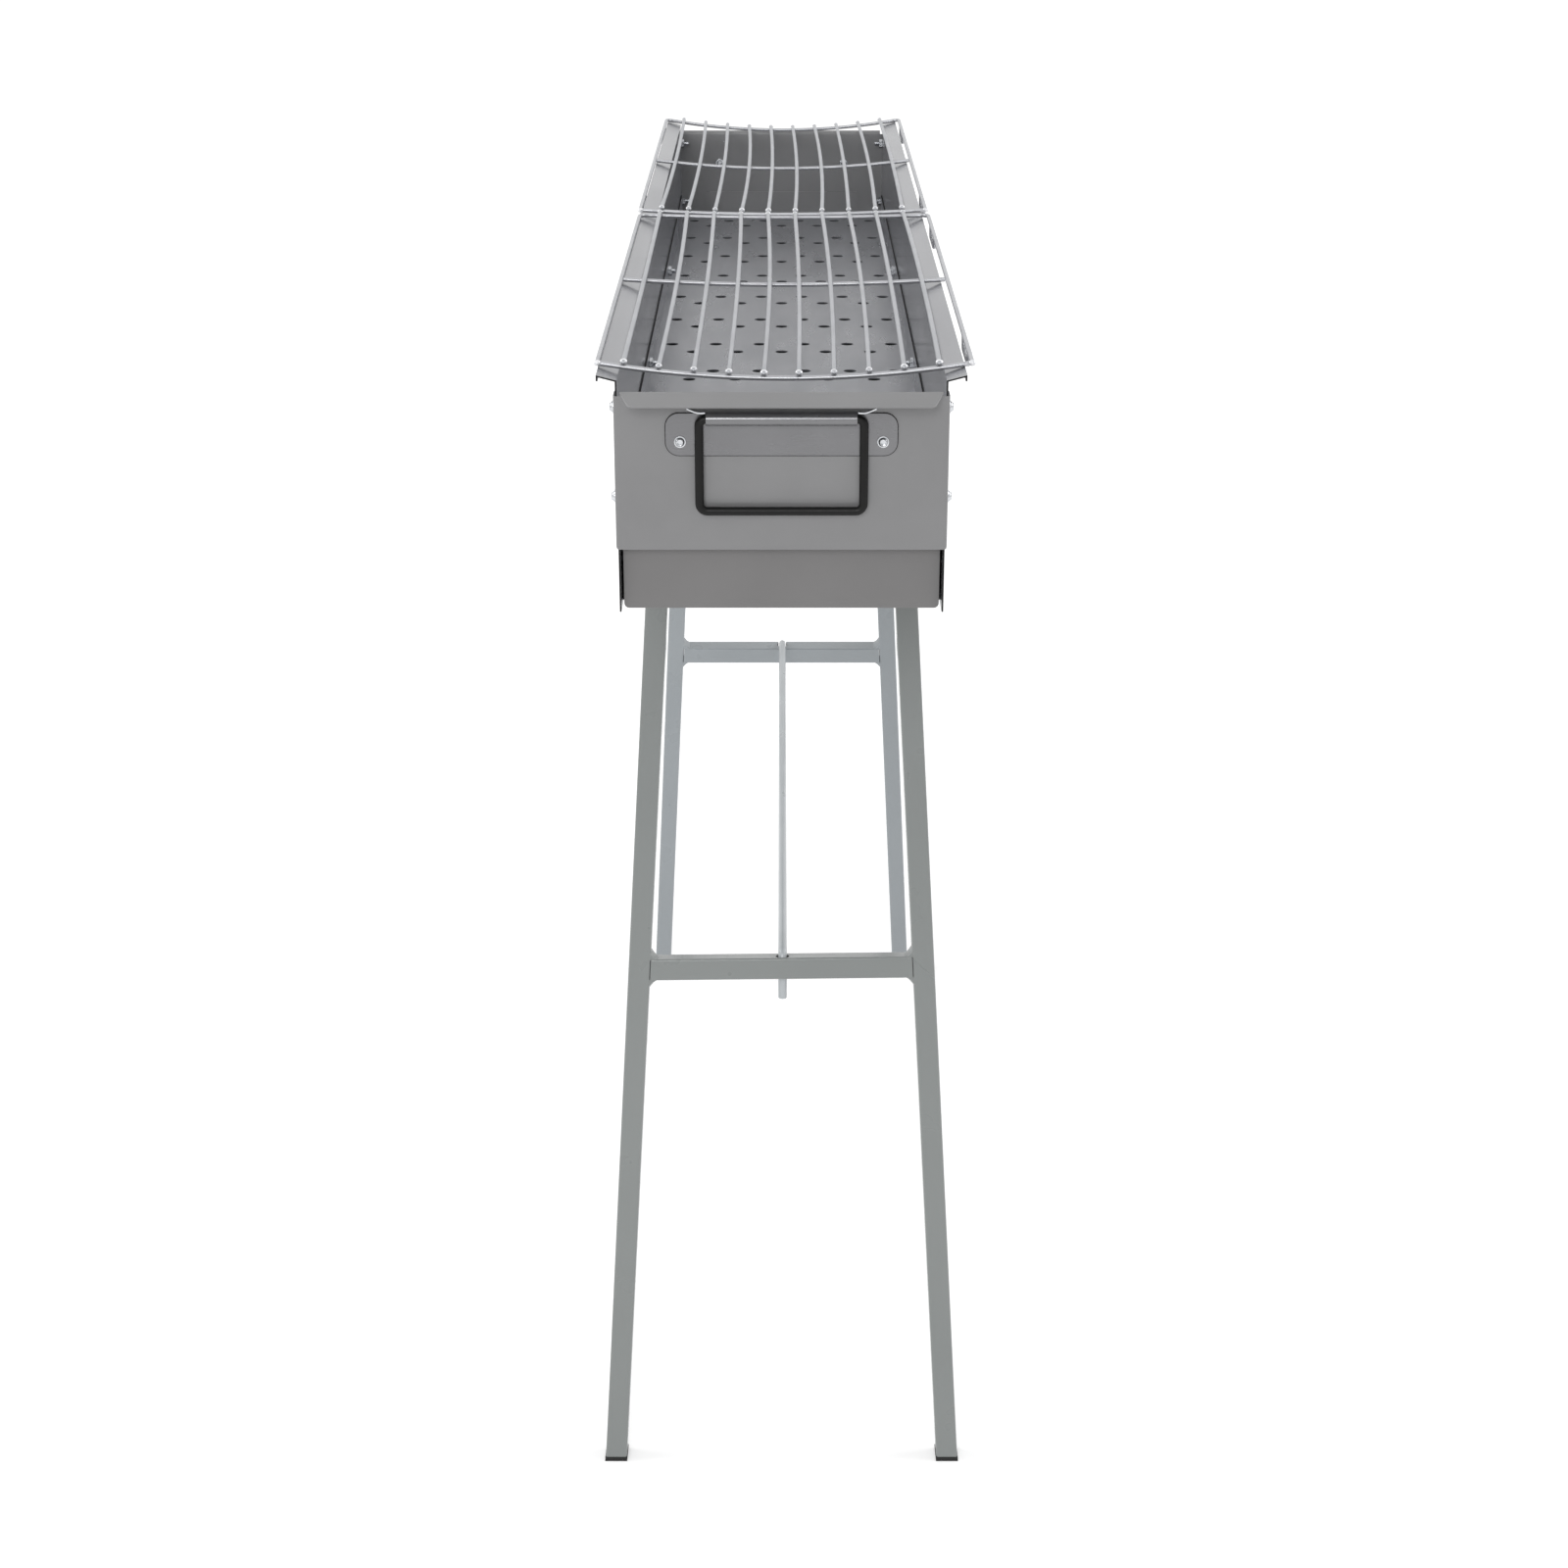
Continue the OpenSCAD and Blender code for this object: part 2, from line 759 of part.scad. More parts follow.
// Outline of a bracket's web, with its lower corners rounded
module bracket_web() {
    r = bracket_r;
    translate([-bracket_l / 2, r])
        square([bracket_l, bracket_h - r]);
    translate([-bracket_l / 2 + r, 0])
        square([bracket_l - 2 * r, r]);
    for (s = [LEFT, RIGHT])
        translate([s * (bracket_l / 2 - r), r])
            circle(r = r);
}

// Bore for a pivot bolt along X on the right-hand side
module pivot_bore() {
    translate([low_hw / 2, 0, 0])
        rotate([0, 90, 0])
            cylinder(d = pivot_d + 2 * pivot_fit, h = low_hw);
}

module hinge_brackets_front() {
    color("#8b8f8e")
        hinge_brackets(FRONT);
}

module hinge_brackets_rear() {
    color("#8b8f8e")
        hinge_brackets(REAR);
}

pivot_nut_x = leg_x - tube / 2 - pivot_nut_gap;

// Two pivot bolts of one end
module pivot_bolts(e) {
    length = web_x - pivot_nut_x + pivot_nut_h + pivot_tail;
    for (s = [LEFT, RIGHT])
        to_side(s)
            translate([web_x + seam, e * pivot_y, pivot_z])
                rotate([0, 90, 0])
                    screw(pivot_head_d, pivot_head_h, pivot_d, length);
}

module pivot_bolts_front() {
    color("#b9bbbd")
        pivot_bolts(FRONT);
}

module pivot_bolts_rear() {
    color("#b9bbbd")
        pivot_bolts(REAR);
}

// Two pivot nuts of one end
module pivot_nuts(e) {
    for (s = [LEFT, RIGHT])
        to_side(s)
            translate([pivot_nut_x, e * pivot_y, pivot_z])
                rotate([0, -90, 0])
                    nut(pivot_nut_af, pivot_nut_h, pivot_d + 4 * seam);
}

module pivot_nuts_front() {
    color("#b9bbbd")
        pivot_nuts(FRONT);
}

module pivot_nuts_rear() {
    color("#b9bbbd")
        pivot_nuts(REAR);
}

// Lays a piece out from the pivot line of the rear frame, with the frame's plane in X and Z
module in_frame() {
    translate([0, pivot_y, pivot_z])
        rotate([lean, 0, 0])
            children();
}

// Solid bar along the right-hand leg of the rear frame, as wide as w
module leg_bar(w) {
    in_frame()
        translate([leg_x, 0, 0])
            rotate([0, -splay, 0])
                translate([-w / 2, -w / 2, leg_head - leg_reach])
                    cube([w, w, leg_reach]);
}

// Block that reaches from z1 to z2 under the whole grill
module slab(z1, z2) {
    translate([-2 * foot_x, -2 * foot_y, z1])
        cube([4 * foot_x, 4 * foot_y, z2 - z1]);
}

// Right-hand leg of the rear frame
module leg() {
    difference() {
        leg_bar(tube);
        in_frame()
            translate([leg_x, 0, 0])
                rotate([0, -splay, 0])
                    translate([tube_wall - tube / 2, tube_wall - tube / 2, leg_head - leg_reach - past])
                        cube([tube - 2 * tube_wall, tube - 2 * tube_wall, leg_reach + 2 * past]);
        slab(-3 * tube, cap_h);
        translate([0, pivot_y, pivot_z])
            pivot_bore();
    }
}

// Foot cap of the right-hand leg of the rear frame
module foot_cap() {
    intersection() {
        leg_bar(tube + 2 * cap_proud);
        slab(0, cap_h - seam);
    }
    intersection() {
        leg_bar(tube - 2 * tube_wall - 4 * seam);
        slab(cap_h / 2, cap_h + cap_plug_h);
    }
}

// Crossbar of the rear frame, before the rod's opening is cut
module crossbar() {
    reach = leg_x + bar_run * tan(splay);
    difference() {
        in_frame()
            translate([0, 0, -bar_run])
                difference() {
                    cube([2 * reach, tube, tube], center = true);
                    cube([2 * reach + past, tube - 2 * tube_wall, tube - 2 * tube_wall],
                        center = true);
                }
        for (s = [LEFT, RIGHT])
            to_side(s)
                leg_bar(tube + 2 * seam);
    }
}

module leg_front_left() {
    color("#8b8f8e")
        to_end(FRONT)
            to_side(LEFT)
                leg();
}

module leg_front_right() {
    color("#8b8f8e")
        to_end(FRONT)
            leg();
}

module leg_rear_left() {
    color("#9aa0a6")
        to_side(LEFT)
            leg();
}

module leg_rear_right() {
    color("#9aa0a6")
        leg();
}

module crossbar_front() {
    color("#8b8f8e")
        difference() {
            to_end(FRONT)
                crossbar();
            translate([rod_x, -crossbar_y, crossbar_z - tube])
                cylinder(r = rod_hole_r, h = 2 * tube);
        }
}

module crossbar_rear() {
    color("#9aa0a6")
        difference() {
            crossbar();
            translate([rod_x, crossbar_y, crossbar_z - tube])
                cylinder(r = rod_hole_r, h = 2 * tube);
            translate([rod_x - rod_slot_w / 2, crossbar_y, crossbar_z - tube])
                cube([rod_slot_w, tube, 2 * tube]);
        }
}

module feet_front() {
    color("#2b2b2b")
        for (s = [LEFT, RIGHT])
            to_end(FRONT)
                to_side(s)
                    foot_cap();
}

module feet_rear() {
    color("#2b2b2b")
        for (s = [LEFT, RIGHT])
            to_side(s)
                foot_cap();
}

// Half of the tie rod from its middle to one hooked end, drawn towards +X
module rod_half(reach, tail) {
    r = rod_bend_r;
    translate([(reach - r) / 2, 0, 0])
        wire_x(reach - r, rod_d);
    translate([reach - r, 0, -r])
        wire_bend(r, rod_d);
    translate([reach, 0, -tail])
        cylinder(d = rod_d, h = tail - r, $fn = 24);
}

module tie_rod() {
    below = rod_z - crossbar_z + crossbar_rise;
    color("#a9aeb0")
        translate([rod_x, 0, rod_z]) {
            rotate([0, 0, 90])
                rod_half(crossbar_y, below + rod_rear_tail);
            rotate([0, 0, -90])
                rod_half(crossbar_y, below + rod_front_tail);
        }
}

// Bail hanging in X and Z from its axis at the origin
module bail_wire() {
    hw = bail_w / 2;
    wire_x(bail_w - 2 * bail_top_r, bail_d);
    translate([0, 0, -bail_drop])
        wire_x(bail_w - 2 * bail_low_r, bail_d);
    for (s = [LEFT, RIGHT])
        to_side(s) {
            translate([hw - bail_top_r, 0, -bail_top_r])
                wire_bend(bail_top_r, bail_d);
            translate([hw, 0, -bail_drop + bail_low_r])
                cylinder(d = bail_d, h = bail_drop - bail_low_r - bail_top_r, $fn = 24);
            translate([hw - bail_low_r, 0, -bail_drop + bail_low_r])
                mirror([0, 0, 1])
                    wire_bend(bail_low_r, bail_d);
        }
}

module bail_front() {
    color("#2b2b2b")
        translate([0, -sleeve_y, sleeve_z])
            bail_wire();
}

module bail_rear() {
    color("#2b2b2b")
        translate([0, sleeve_y, sleeve_z])
            bail_wire();
}

module ash_pan() {
    hl = plate_y - sheet - seam;
    color("#343536") {
        translate([-pan_hw, -hl, pan_z])
            cube([2 * pan_hw, 2 * hl, sheet]);
        for (s = [LEFT, RIGHT])
            to_side(s)
                translate([pan_hw - sheet, -hl, pan_z])
                    cube([sheet, 2 * hl, pan_h]);
    }
}

// Outline of a pan plate from the height z up, with its lower corners rounded
module plate_outline(z) {
    r = plate_corner_r;
    translate([-plate_hw, z + r])
        square([2 * plate_hw, plate_top_z - z - r]);
    translate([-plate_hw + r, z])
        square([2 * (plate_hw - r), r]);
    for (s = [LEFT, RIGHT])
        translate([s * (plate_hw - r), z + r])
            circle(r = r);
}

module pan_front_plate() {
    color("#7f7e7e")
        translate([0, sheet / 2 - plate_y, 0])
            upright(sheet)
                plate_outline(trough_z + pan_lift);
}

module pan_rear_plate() {
    color("#7f7e7e")
        translate([0, plate_y - sheet / 2, 0])
            upright(sheet)
                plate_outline(pan_z);
}

// Points of a quarter turn of the frame wire round the corner at x and y
function corner_points(x, y, from) =
    [for (a = [from:90 / corner_steps:from + 90])
        let (px = x + grate_r * cos(a), py = y + grate_r * sin(a))
        [px, py, grate_z(px)]];

// Points of an end wire at y, across from x to -x without its two ends
function end_points(x, y) =
    [for (i = [1:bow_steps - 1]) let (px = x - 2 * x * i / bow_steps) [px, y, grate_z(px)]];

// Frame wire of a grate, with the middle of the grate at the origin
module frame_wire() {
    cx = rail_x - grate_r;
    hl = (grate_l - frame_d) / 2;
    cy = hl - grate_r;
    swept_wire(concat(
        corner_points(cx, -cy, -90), corner_points(cx, cy, 0), end_points(cx, hl),
        corner_points(-cx, cy, 90), corner_points(-cx, -cy, 180), end_points(-cx, -hl)),
        frame_d, true);
}

// Bars of a grate, laid over its end wires and cross wire
module bars() {
    hl = (grate_l - bar_d) / 2;
    for (i = [0:bar_count - 1]) {
        x = (i - (bar_count - 1) / 2) * bar_pitch;
        translate([x, 0, grate_z(x) + (frame_d + bar_d) / 2 + seam]) {
            rotate([90, 0, 0])
                cylinder(d = bar_d, h = 2 * hl, center = true, $fn = 24);
            for (e = [FRONT, REAR])
                translate([0, e * hl, 0])
                    sphere(d = bar_d, $fn = 24);
        }
    }
}

// Bowed wire across the middle of a grate
module cross_wire() {
    x = rail_x - frame_d / 2 - seam;
    lift = (frame_d - bar_d) / 2;
    swept_wire([for (i = [0:2 * bow_steps])
        let (px = x - x * i / bow_steps)
        [px, 0, grate_z(px) + lift]], bar_d, false);
}

// Four bent foot wires that hang from the rails of a grate
module foot_wires() {
    r = foot_bend_r;
    top = frame_d / 2 + seam;
    for (s = [LEFT, RIGHT], e = [FRONT, REAR])
        to_side(s)
            translate([foot_wire_x, e * foot_pitch / 2, rail_z])
                rotate([0, 0, 90]) {
                    translate([0, 0, -foot_drop])
                        wire_x(foot_l - 2 * r, bar_d);
                    for (m = [LEFT, RIGHT])
                        to_side(m) {
                            translate([foot_l / 2 - r, 0, r - foot_drop])
                                mirror([0, 0, 1])
                                    wire_bend(r, bar_d);
                            translate([foot_l / 2, 0, r - foot_drop])
                                cylinder(d = bar_d, h = foot_drop - r - top, $fn = 24);
                        }
                }
}

// Puts its children in the place of the front grate
module in_front_grate() {
    translate([front_grate_x, front_grate_y, 0])
        children();
}

// Puts its children in the place of the rear grate
module in_rear_grate() {
    translate([0, rear_grate_y, 0])
        children();
}

module grate_front_frame() {
    color("#c9cacc")
        in_front_grate()
            frame_wire();
}

module grate_front_bars() {
    color("#c9cacc")
        in_front_grate()
            bars();
}

module grate_front_cross_wire() {
    color("#c9cacc")
        in_front_grate()
            cross_wire();
}

module grate_front_feet() {
    color("#c9cacc")
        in_front_grate()
            foot_wires();
}

module grate_rear_frame() {
    color("#c9cacc")
        in_rear_grate()
            frame_wire();
}

module grate_rear_bars() {
    color("#c9cacc")
        in_rear_grate()
            bars();
}

module grate_rear_cross_wire() {
    color("#c9cacc")
        in_rear_grate()
            cross_wire();
}

module grate_rear_feet() {
    color("#c9cacc")
        in_rear_grate()
            foot_wires();
}

side_panel_left();
side_panel_right();
end_panel_front();
end_panel_rear();
perforated_floor();
floor_edges();
handle_plate_front();
handle_plate_rear();
handle_screws_front();
handle_screws_rear();
handle_nuts_front();
handle_nuts_rear();
corner_bolts_front();
corner_bolts_rear();
corner_nuts_front();
corner_nuts_rear();
floor_bolts();
floor_nuts();
hinge_brackets_front();
hinge_brackets_rear();
pivot_bolts_front();
pivot_bolts_rear();
pivot_nuts_front();
pivot_nuts_rear();
leg_front_left();
leg_front_right();
crossbar_front();
feet_front();
leg_rear_left();
leg_rear_right();
crossbar_rear();
feet_rear();
tie_rod();
bail_front();
bail_rear();
ash_pan();
pan_front_plate();
pan_rear_plate();
grate_front_frame();
grate_front_bars();
grate_front_cross_wire();
grate_front_feet();
grate_rear_frame();
grate_rear_bars();
grate_rear_cross_wire();
grate_rear_feet();
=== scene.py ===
"""Folding campfire grill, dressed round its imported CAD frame.

The frame gives every piece its place. The classes below model the wires, fasteners and
bent sheet more finely than the frame does, and give every surface its real finish.
Lengths in the dataclasses are millimetres, and the meshes are in metres.
"""

import json
import logging
import math
from dataclasses import dataclass, field
from enum import Enum
from typing import Callable, Iterable, Sequence

import bmesh
import bpy
from mathutils import Matrix, Vector, noise


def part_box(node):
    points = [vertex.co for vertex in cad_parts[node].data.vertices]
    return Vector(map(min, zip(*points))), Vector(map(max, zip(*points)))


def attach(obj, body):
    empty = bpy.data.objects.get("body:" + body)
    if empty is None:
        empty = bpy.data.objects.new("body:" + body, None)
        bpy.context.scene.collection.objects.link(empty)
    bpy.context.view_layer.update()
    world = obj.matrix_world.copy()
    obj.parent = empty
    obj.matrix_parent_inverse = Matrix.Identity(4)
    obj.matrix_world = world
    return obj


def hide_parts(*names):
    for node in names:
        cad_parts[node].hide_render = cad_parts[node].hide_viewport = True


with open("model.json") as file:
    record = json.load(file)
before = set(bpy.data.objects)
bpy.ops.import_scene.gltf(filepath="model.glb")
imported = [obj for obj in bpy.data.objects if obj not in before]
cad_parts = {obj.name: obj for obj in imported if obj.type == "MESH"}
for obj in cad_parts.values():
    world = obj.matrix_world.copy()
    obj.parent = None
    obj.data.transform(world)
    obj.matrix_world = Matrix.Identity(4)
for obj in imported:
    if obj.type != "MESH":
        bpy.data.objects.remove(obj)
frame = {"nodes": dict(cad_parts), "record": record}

MM = 0.001
# Points closer than this, in metres, are one point
TOUCH = 1e-6
# The mix node's colour comes out of its third socket
COLOUR_RESULT = 2
WHITE = (1, 1, 1, 1)
LOG = logging.getLogger("grill")


class End(Enum):
    """The two ends of the grill, with the sign of each along Y."""

    FRONT = -1
    REAR = 1

    @property
    def word(self) -> str:
        """The end's name as the nodes use it."""
        return self.name.lower()


class Side(Enum):
    """The two sides of the grill, with the sign of each along X."""

    LEFT = -1
    RIGHT = 1

    @property
    def word(self) -> str:
        """The side's name as the nodes use it."""
        return self.name.lower()


class Section(Enum):
    """The outline of one ring of a turned piece."""

    ROUND = "round"
    HEX = "hex"


class Plane(Enum):
    """The plane that a flat outline lies in."""

    XZ = "xz"
    YZ = "yz"


@dataclass(frozen=True)
class Ring:
    """One ring of a turned piece.

    A round ring gives its radius, and a hexagonal one half its width across flats.
    """

    radius: float
    height: float
    section: Section = Section.ROUND

    def reach(self, angle: float) -> float:
        """Distance of the ring from its axis at an angle in radians."""
        if self.section is Section.ROUND:
            return self.radius
        turn = (angle + math.pi / 6) % (math.pi / 3) - math.pi / 6
        return self.radius / math.cos(turn)


def srgb(code: str) -> tuple[float, float, float, float]:
    """Turns an sRGB hex colour into linear red, green, blue and alpha.

    Args:
        code: A colour such as "#8a8a8b".

    Returns:
        The linear colour, fully opaque.
    """
    parts = [int(code[i:i + 2], 16) / 255 for i in (1, 3, 5)]
    red, green, blue = (p / 12.92 if p <= 0.04045 else ((p + 0.055) / 1.055) ** 2.4 for p in parts)
    return red, green, blue, 1.0


def per_metre(spacing: float) -> float:
    """Scale of a noise texture whose features are the given number of millimetres apart."""
    return 1 / (spacing * MM)


def add_node(tree: bpy.types.NodeTree, kind: str, **settings: object) -> bpy.types.Node:
    """Adds a shader node, sets it up and links it.

    Args:
        tree: The node tree that takes the node.
        kind: Blender's name of the node type.
        settings: Values by name. Words join with underscores, an output socket as a
            value makes a link, and a name that is no input sets the node's property.
            A list gives the inputs that share a name their values in order.

    Returns:
        The new node.
    """
    node = tree.nodes.new(kind)
    for key, value in settings.items():
        wanted = key.replace("_", " ").lower()
        matches = [s for s in node.inputs if s.name.lower() == wanted and s.enabled]
        if not matches:
            setattr(node, key, value)
            continue
        for socket, given in zip(matches, value if isinstance(value, list) else [value]):
            if isinstance(given, bpy.types.NodeSocket):
                tree.links.new(given, socket)
            else:
                socket.default_value = given
    return node


def start_material(name: str) -> tuple[bpy.types.Material, bpy.types.NodeTree]:
    """Makes an empty node material.

    Args:
        name: The finish's name.

    Returns:
        The material and its cleared node tree.
    """
    material = bpy.data.materials.new(name)
    material.use_nodes = True
    material.node_tree.nodes.clear()
    return material, material.node_tree


def coords(tree: bpy.types.NodeTree) -> bpy.types.NodeSocket:
    """Object coordinates, which on every piece are metres in the grill's own frame."""
    return add_node(tree, "ShaderNodeTexCoord").outputs["Object"]


def drift(
    tree: bpy.types.NodeTree, place: bpy.types.NodeSocket, spacing: float,
    stretch: Sequence[float] = (1, 1, 1), detail: float = 3.0,
) -> bpy.types.NodeSocket:
    """Soft noise with features a real distance apart.

    Args:
        tree: The material's node tree.
        place: The coordinates to read.
        spacing: Distance between features in millimetres.
        stretch: Scale of the coordinates along each axis, below 1 to draw features out.
        detail: Number of finer layers in the noise.

    Returns:
        The noise's grey output, from 0 to 1.
    """
    drawn = add_node(tree, "ShaderNodeMapping", Vector=place, Scale=Vector(stretch))
    return add_node(
        tree, "ShaderNodeTexNoise", Vector=drawn.outputs[0], Scale=per_metre(spacing), Detail=detail
    ).outputs[0]


def blend_range(
    tree: bpy.types.NodeTree, grey: bpy.types.NodeSocket, low: float, high: float,
    start: float = 0.3, stop: float = 0.7,
) -> bpy.types.NodeSocket:
    """Maps a grey pattern onto a range of values, clamped at both ends.

    Args:
        tree: The node tree that holds the pattern.
        grey: The pattern.
        low: Value given at and below the start.
        high: Value given at and above the stop.
        start: The grey where the range starts.
        stop: The grey where it stops.

    Returns:
        The mapped value.
    """
    return add_node(
        tree, "ShaderNodeMapRange", Value=grey, From_Min=start, From_Max=stop, To_Min=low, To_Max=high
    ).outputs[0]


@dataclass(frozen=True)
class Finish:
    """A surface finish: two close colours that drift, a base roughness and a fine relief."""

    name: str
    colour: str
    shade: str
    metallic: float
    roughness: float
    roughness_drift: float
    patch_mm: float
    grain_mm: float
    grain_depth_mm: float
    stretch: tuple[float, float, float] = (1, 1, 1)
    coat: float = 0.0
    specular: float = 0.5
    # Painted highlight on the sharp edges: its colour, its width and its strength
    wear: str = ""
    wear_width_mm: float = 0.0
    wear_share: float = 0.6
    relief: float = 0.6
    coat_roughness: float = 0.15
    smears_in_patch: float = 3.0

    def material(self) -> bpy.types.Material:
        """Builds the finish.

        Returns:
            A node material with drifting colour, drifting roughness and fine relief.
        """
        material, tree = start_material(self.name)
        place = coords(tree)
        patches = drift(tree, place, self.patch_mm)
        tint = add_node(
            tree, "ShaderNodeMix", data_type="RGBA", Factor=blend_range(tree, patches, 0, 1),
            A=srgb(self.colour), B=srgb(self.shade))
        colour = tint.outputs[COLOUR_RESULT]
        if self.wear:
            colour = self.worn(tree, colour)
        smears = drift(tree, place, self.patch_mm / self.smears_in_patch, self.stretch)
        rough = blend_range(
            tree, smears, self.roughness - self.roughness_drift, self.roughness + self.roughness_drift)
        grain = drift(tree, place, self.grain_mm, self.stretch)
        relief = add_node(
            tree, "ShaderNodeBump", Height=grain, Strength=self.relief, Distance=self.grain_depth_mm * MM)
        shader = add_node(
            tree, "ShaderNodeBsdfPrincipled", Base_Color=colour, Metallic=self.metallic,
            Roughness=rough, Normal=relief.outputs[0], Specular_IOR_Level=self.specular,
            Coat_Weight=self.coat, Coat_Roughness=self.coat_roughness)
        add_node(tree, "ShaderNodeOutputMaterial", Surface=shader.outputs[0])
        return material

    def worn(self, tree: bpy.types.NodeTree, colour: bpy.types.NodeSocket) -> bpy.types.NodeSocket:
        """Lightens the sharp edges with a painted highlight, for the light that catches them.

        Args:
            tree: The material's node tree.
            colour: The colour away from the edges.

        Returns:
            The colour with its painted edge highlight.
        """
        flat = add_node(tree, "ShaderNodeNewGeometry")
        edge = add_node(tree, "ShaderNodeBevel", Radius=self.wear_width_mm * MM, samples=6)
        turn = add_node(
            tree, "ShaderNodeVectorMath", operation="DOT_PRODUCT",
            Vector=[flat.outputs["Normal"], edge.outputs[0]])
        amount = blend_range(tree, turn.outputs["Value"], self.wear_share, 0.0, 0.75, 0.98)
        mixed = add_node(
            tree, "ShaderNodeMix", data_type="RGBA", Factor=amount, A=colour, B=srgb(self.wear))
        return mixed.outputs[COLOUR_RESULT]


# Cold-rolled sheet steel of the long walls: bright enough to mirror the floor and the nuts softly
SHEET = Finish(
    name="cold_rolled_side_sheet", colour="#8d8e92", shade="#86878b", metallic=0.5, roughness=0.22,
    roughness_drift=0.04, patch_mm=120, grain_mm=3.0, grain_depth_mm=0.002, stretch=(1, 0.2, 1),
    wear="#a4a5a8", wear_width_mm=0.5)
# The end panels' sheet is duller under its clear stoved coat, with a faint grain across the grill
END_SHEET = Finish(
    name="stoved_end_sheet", colour="#878788", shade="#828283", metallic=0.3, roughness=0.42,
    roughness_drift=0.05, patch_mm=60, grain_mm=1.6, grain_depth_mm=0.006, stretch=(0.2, 1, 1),
    wear="#a9a9ab", wear_width_mm=0.5)
# The handle plate is a shade darker, so that it stands out from the panel behind it
HANDLE_SHEET = Finish(
    name="stoved_handle_sheet", colour="#7c7c7e", shade="#777779", metallic=0.55, roughness=0.26,
    roughness_drift=0.04, patch_mm=30, grain_mm=1.4, grain_depth_mm=0.005, stretch=(0.2, 1, 1))
# The pan's front sheet is duller and a shade warmer
PAN_SHEET = Finish(
    name="dull_pan_sheet", colour="#7a7979", shade="#757474", metallic=0.3, roughness=0.48,
    roughness_drift=0.05, patch_mm=70, grain_mm=1.8, grain_depth_mm=0.008, stretch=(0.25, 1, 1),
    wear="#989898", wear_width_mm=0.4)
# Near-black painted shade on the pan under the floor, for the shade seen through the floor's holes
PAN_SHADE = Finish(
    name="heat_proof_black", colour="#121213", shade="#19191a", metallic=0.0, roughness=0.7,
    roughness_drift=0.06, patch_mm=50, grain_mm=1.2, grain_depth_mm=0.03, specular=0.15)
# Coal floor: the same sheet as the walls with more haze from pressing and oil
FLOOR_SHEET = Finish(
    name="pressed_floor_sheet", colour="#95969b", shade="#8c8e93", metallic=0.5, roughness=0.3,
    roughness_drift=0.05, patch_mm=70, grain_mm=3.0, grain_depth_mm=0.002, stretch=(1, 0.25, 1),
    wear="#a8a9ac", wear_width_mm=0.4)
# Near-black painted shade on the sheets' edge faces, standing in for the shadow in the thin gaps beside them
GAP_SHADE = Finish(
    name="sheared_edge", colour="#161617", shade="#202021", metallic=0.0, roughness=0.7,
    roughness_drift=0.05, patch_mm=6, grain_mm=0.8, grain_depth_mm=0.02, specular=0.2)
# Grey powder coat on the front leg frame: orange peel about 2 mm apart
FRONT_COAT = Finish(
    name="grey_powder_coat", colour="#898d8c", shade="#858988", metallic=0.0, roughness=0.3,
    roughness_drift=0.04, patch_mm=120, grain_mm=2.2, grain_depth_mm=0.008, coat=0.5,
    wear="#a6aaa9", wear_width_mm=0.6)
# The rear frame's coat: a lighter, bluer copy of the front frame's coat, painted light for the paler light
# on the rear frame
REAR_LIT_COAT = Finish(
    name="blue_grey_powder_coat", colour="#a3a9ad", shade="#9ea4a8", metallic=0.0, roughness=0.3,
    roughness_drift=0.04, patch_mm=120, grain_mm=2.2, grain_depth_mm=0.008, coat=0.5,
    wear="#bdc3c6", wear_width_mm=0.6)
# Coated tie rod, paler than the frames where handling has polished it
ROD_COAT = Finish(
    name="rod_coat", colour="#bdc2c5", shade="#b5babd", metallic=0.1, roughness=0.3,
    roughness_drift=0.03, patch_mm=60, grain_mm=4.0, grain_depth_mm=0.001, coat=0.2)
# Black dip coat on the bails: thick, soft and slightly uneven
DIP_COAT = Finish(
    name="black_dip_coat", colour="#0a0a0a", shade="#0f0f0e", metallic=0.0, roughness=0.4,
    roughness_drift=0.06, patch_mm=12, grain_mm=1.8, grain_depth_mm=0.01, specular=0.22)
# Bright zinc plate on the screws and nuts
ZINC = Finish(
    name="zinc_plate", colour="#cdcfd2", shade="#b9bbbe", metallic=1.0, roughness=0.22,
    roughness_drift=0.06, patch_mm=4, grain_mm=0.8, grain_depth_mm=0.004)
# Nickel plate over drawn wire: satin grey, with faint draw marks along the wire
WIRE_PLATE = Finish(
    name="plated_wire", colour="#b1b3b7", shade="#a6a8ac", metallic=0.5, roughness=0.36,
    roughness_drift=0.04, patch_mm=30, grain_mm=4.0, grain_depth_mm=0.001, stretch=(1, 0.15, 1))
# The frame and cross wires took the plate brighter than the bars
FRAME_PLATE = Finish(
    name="plated_frame_wire", colour="#b4b5b8", shade="#a9aaae", metallic=0.6, roughness=0.3,
    roughness_drift=0.04, patch_mm=30, grain_mm=4.0, grain_depth_mm=0.001, stretch=(0.15, 1, 1))
# Weld spots painted near white, a painted highlight for the glints on their round tops
WELD_GLINT = Finish(
    name="plated_weld", colour="#ececee", shade="#dedfe2", metallic=0.3, roughness=0.32,
    roughness_drift=0.08, patch_mm=3, grain_mm=0.9, grain_depth_mm=0.015)
# Black polyethylene end caps, moulded with a fine spark texture
CAP_PLASTIC = Finish(
    name="moulded_black_cap", colour="#161616", shade="#1e1e1e", metallic=0.0, roughness=0.55,
    roughness_drift=0.05, patch_mm=8, grain_mm=0.9, grain_depth_mm=0.015, specular=0.35)


